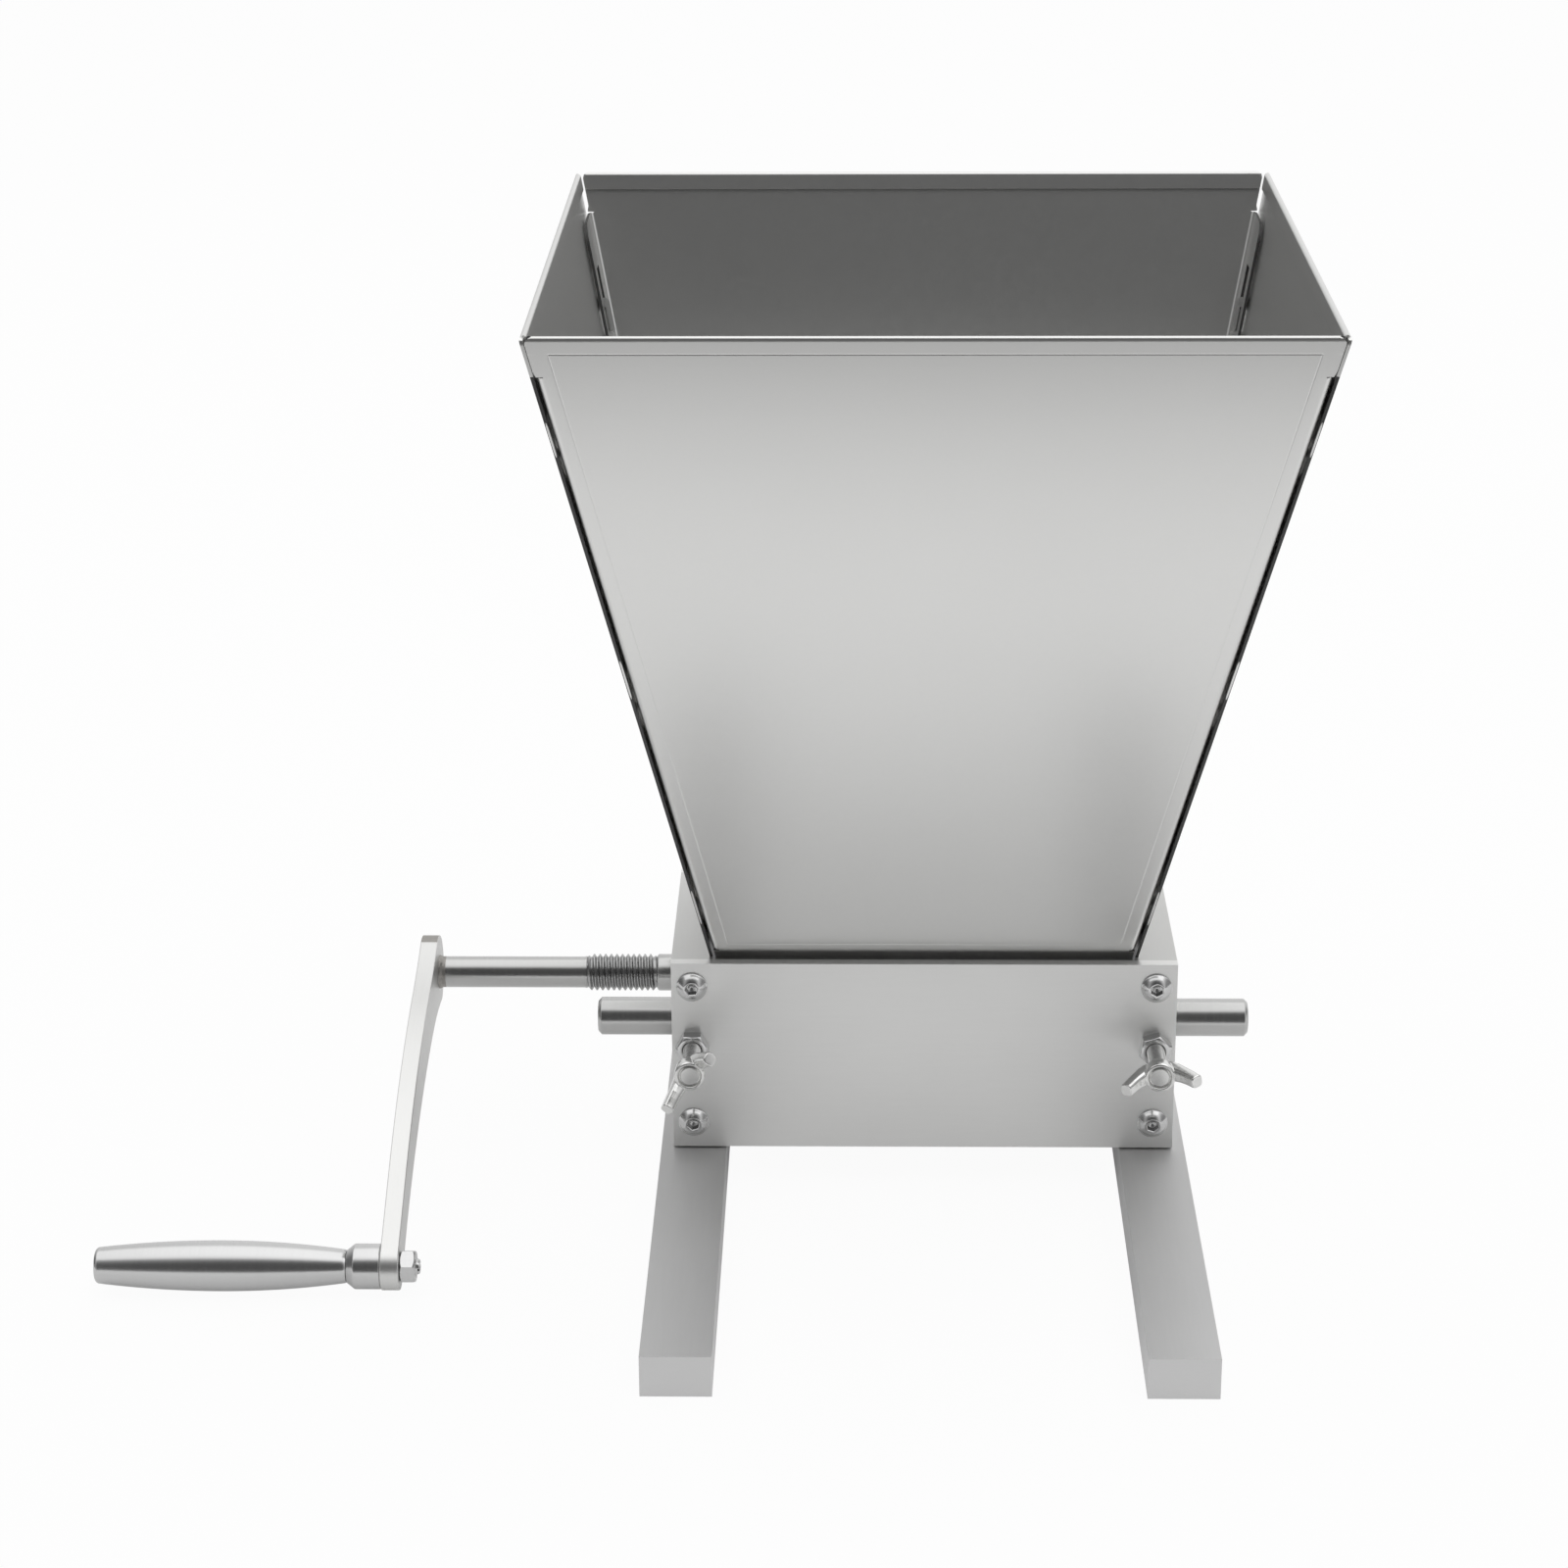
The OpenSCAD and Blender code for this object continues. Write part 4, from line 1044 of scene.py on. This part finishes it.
skin = bmesh.ops.extrude_face_region(bm, geom=list(bm.faces))
moved = [g for g in skin["geom"] if isinstance(g, bmesh.types.BMVert)]
bmesh.ops.translate(bm, verts=moved, vec=Vector((ARM_T * MM, 0, 0)))
bmesh.ops.recalc_face_normals(bm, faces=bm.faces)
mesh = bpy.data.meshes.new("crank_arm_flat")
bm.to_mesh(mesh)
bm.free()
obj = linked("crank_arm_flat", mesh)
mesh.materials.append(ARM)
mesh.materials.append(BRAZE)
for poly in mesh.polygons:
    if poly.center.z / MM > AXLE_Z + DARK_ABOVE and abs(poly.normal.x) < 0.5:
        poly.material_index = 1
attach(obj, "drive")
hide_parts("crank_arm")
bevelled(obj, 0.45, 3, 40)


def grip_radius(share):
    """Radius of the grip at a share of its length."""
    end = GRIP_OUTER if share < 0.5 else GRIP_INNER
    off = (share - 0.5) / 0.5
    return (GRIP_BELLY - (GRIP_BELLY - end) * off * off) / 2


# The turning grip with its bore and sunk end
profile = [(0.12, 4.7), (0.0, 4.95), (0.05, 5.25), (0.35, 5.6), (0.9, grip_radius(0.012))]
profile += [(GRIP_LEN * i / 60, grip_radius(i / 60)) for i in range(1, 60)]
profile += [(GRIP_LEN - 0.35, 5.42), (GRIP_LEN - 0.08, 5.25), (GRIP_LEN, 4.9), (GRIP_LEN, 3.6),
            (GRIP_LEN - 0.5, 3.05), (4.375, 3.05), (4.375, 4.3), (0.45, 4.3)]
part = along_x(ring_lathe(profile, FINE), GRIP_X, GRIP_Y, GRIP_Z)
mesh_object("grip_turned_piece", part, "crank_grip", "grip", GRIP, 30)


# The collar between grip and arm: a cone and a straight rim
profile = rounded([(0.0, 3.6), (0.0, 5.35), (0.12, 5.5), (2.45, 7.3), (2.75, 7.4), (10.9, 7.4), (11.3, 7.05),
                   (11.3, 3.5)], 0.12) + [(10.9, 3.05), (0.5, 3.05)]
part = along_x(ring_lathe(profile, FINE), COLLAR_X, GRIP_Y, GRIP_Z)
mesh_object("grip_collar_turned", part, "grip_collar", "drive", GRIP, 30)


def slotted(part, x0, x1, width, name):
    """A slot across a turned part, cut with a box."""
    half = width / 2
    box = [(x, y, z) for x in (x0, x1) for y in (-12, 12) for z in (-half, half)]
    box_faces = [(0, 1, 3, 2), (4, 6, 7, 5), (0, 4, 5, 1), (2, 3, 7, 6), (0, 2, 6, 4), (1, 5, 7, 3)]
    obj, tool = helper(name + "_a", part), helper(name + "_b", (box, box_faces))
    cut = obj.modifiers.new("slot", "BOOLEAN")
    cut.operation = "DIFFERENCE"
    cut.solver = "EXACT"
    cut.object = tool
    made = evaluated(obj)
    bpy.data.objects.remove(tool)
    return part_of(made)


# Bolt with a slotted head in the grip and a slotted end in the nut
head = rounded([(0.775, 0.0), (0.775, 3.9), (1.05, 4.2), (4.25, 4.2), (4.25, M6_R)], 0.12)
stem = [(GRIP_X + 30, M6_R), (-180.0, M6_R), (-176.0, M6_R), (BOLT_THREAD, 2.52), (BOLT_END - 0.7, 2.52),
        (BOLT_END - 0.1, 2.3), (BOLT_END, 2.05), (BOLT_END, 0.0)]
cut = lathe([(GRIP_X + x, r) for x, r in head] + stem, MEDIUM)
cut = slotted(cut, GRIP_X - 1, GRIP_X + 2.1, 1.3, "head")
cut = slotted(cut, BOLT_END - 1.3, BOLT_END + 1, 0.9, "end")
spiral = thread(BOLT_THREAD, BOLT_END - 0.6, 2.98, M6_ROOT, 1.0, MEDIUM)
closed = lathe([(BOLT_THREAD, M6_ROOT), (BOLT_THREAD, 0.5)], MEDIUM)
part = along_x(joined(cut, spiral, closed), 0, GRIP_Y, GRIP_Z)
mesh_object("grip_bolt_slotted", part, "grip_bolt", "drive", BRIGHT, 35)


# Camera

# The photo's camera, solved from the hopper, plates and legs: its turn, tilt and roll in radians, its offset
# in millimetres from a point below the front plate, and its focal length and the photo's width in pixels
CAMERA_TURN, CAMERA_TILT, CAMERA_ROLL = -0.0209, math.radians(21.0), -0.0059
CAMERA_OFFSET = Vector((47.667, 137.716, 1283.649))
CAMERA_ORIGIN = Vector((MILL_X, FRONT_Y, 0.6))
FOCAL, PHOTO_W = 3797.18, 1600
SENSOR = 36

down, level = math.sin(CAMERA_TILT), math.cos(CAMERA_TILT)
look = Matrix(((1, 0, 0), (0, -down, -level), (0, level, -down)))
rows = Matrix.Rotation(CAMERA_ROLL, 3, "Z") @ look @ Matrix.Rotation(CAMERA_TURN, 3, "Z")
place = -(rows.transposed() @ CAMERA_OFFSET) + CAMERA_ORIGIN
data = bpy.data.cameras.new("photo_camera")
data.lens = FOCAL / PHOTO_W * SENSOR
data.sensor_width = SENSOR
data.clip_start = 0.05
camera = linked("photo_camera", data)
axes = Matrix((rows[0], -rows[1], -rows[2])).transposed()
camera.matrix_world = Matrix.Translation(place * MM) @ axes.to_4x4()
bpy.context.scene.camera = camera
bpy.context.scene.view_settings.view_transform = "Standard"


# Floor and light, in metres

def floor_material():
    """A pale floor that shows white to the camera, glows in reflections with a painted shade that dims the
    glow near and under the mill, and keeps a soft shadow.
    """
    mat = bpy.data.materials.new("pale_floor")
    mat.use_nodes = True
    tree = mat.node_tree
    nodes, links = tree.nodes, tree.links
    shader = nodes["Principled BSDF"]
    shader.inputs["Roughness"].default_value = 0.7
    coord = nodes.new("ShaderNodeTexCoord").outputs["Object"]
    noise = noise_node(tree, coord, 3.0, 2.0)
    links.new(ramp_node(tree, noise, ((0.0, (0.86,) * 3), (1.0, (0.90,) * 3))), shader.inputs["Base Color"])
    glow = nodes.new("ShaderNodeEmission")
    glow.inputs["Strength"].default_value = 1.0
    path = nodes.new("ShaderNodeLightPath")
    split = nodes.new("ShaderNodeSeparateXYZ")
    links.new(coord, split.inputs["Vector"])
    # Painted shade in reflections: the glow seen by glossy rays is weak near and under the mill, where its
    # shadow falls, and full further in front
    glow_with_painted_shade = range_node(tree, split.outputs["Y"], (-0.10, -0.25), (0.22, 0.98), "SMOOTHSTEP")
    glossy = math_node(tree, "MULTIPLY", path.outputs["Is Glossy Ray"], glow_with_painted_shade)
    seen = math_node(tree, "MULTIPLY", path.outputs["Is Camera Ray"], 0.95)
    mix = nodes.new("ShaderNodeMixShader")
    links.new(math_node(tree, "ADD", glossy, seen), mix.inputs["Fac"])
    links.new(shader.outputs["BSDF"], mix.inputs[1])
    links.new(glow.outputs["Emission"], mix.inputs[2])
    links.new(mix.outputs["Shader"], nodes["Material Output"].inputs["Surface"])
    return mat


# The floor's front edge, and its reach to the sides and the rear
front, reach = -0.355, 3
floor_mesh = bpy.data.meshes.new("floor")
corners = [(-reach, front, 0), (reach, front, 0), (reach, reach, 0), (-reach, reach, 0)]
floor_mesh.from_pydata(corners, [], [(0, 1, 2, 3)])
floor_mesh.materials.append(floor_material())
linked("floor", floor_mesh)


def studio_world():
    """A pale surround for reflections, dimmer in front, at the sides and below, and white to the camera."""
    world = bpy.data.worlds.new("studio")
    world.use_nodes = True
    tree = world.node_tree
    nodes, links = tree.nodes, tree.links
    coord = nodes.new("ShaderNodeTexCoord").outputs["Generated"]
    toward = nodes.new("ShaderNodeVectorMath")
    toward.operation = "DOT_PRODUCT"
    toward.inputs[1].default_value = (0.0, -0.93, 0.36)
    links.new(coord, toward.inputs[0])
    spot = range_node(tree, toward.outputs["Value"], (0.55, 0.95), (0.95, 0.10), "SMOOTHSTEP")
    split = nodes.new("ShaderNodeSeparateXYZ")
    links.new(coord, split.inputs["Vector"])
    lean = range_node(tree, split.outputs["X"], (-0.9, 0.0), (0.5, 1.0))
    side = math_node(tree, "ABSOLUTE", split.outputs["X"])
    flag = range_node(tree, side, (0.66, 0.97), (1.0, 0.30), "SMOOTHSTEP")
    low = range_node(tree, split.outputs["Z"], (-0.30, -0.02), (0.25, 1.0))
    shade = spot
    for share in (flag, low, lean):
        shade = math_node(tree, "MULTIPLY", shade, share)
    path = nodes.new("ShaderNodeLightPath")
    pick = nodes.new("ShaderNodeMix")
    pick.data_type = "RGBA"
    links.new(path.outputs["Is Camera Ray"], pick.inputs["Factor"])
    links.new(shade, pick.inputs["A"])
    pick.inputs["B"].default_value = (1, 1, 1, 1)
    links.new(pick.outputs["Result"], nodes["Background"].inputs["Color"])
    nodes["Background"].inputs["Strength"].default_value = 1.0
    return world


bpy.context.scene.world = studio_world()


def softbox(name, where, aim, size, watts):
    """A soft light that looks at a point, in metres."""
    light = bpy.data.lights.new(name, "AREA")
    light.shape = "RECTANGLE"
    light.size, light.size_y = size
    light.energy = watts
    obj = linked(name, light)
    way = Vector(aim) - Vector(where)
    obj.matrix_world = Matrix.Translation(where) @ way.to_track_quat("-Z", "Y").to_matrix().to_4x4()


softbox("top_softbox", (0.0, 0.05, 1.5), (0.0, 0.05, 0.1), (3.0, 2.10), 9.6)
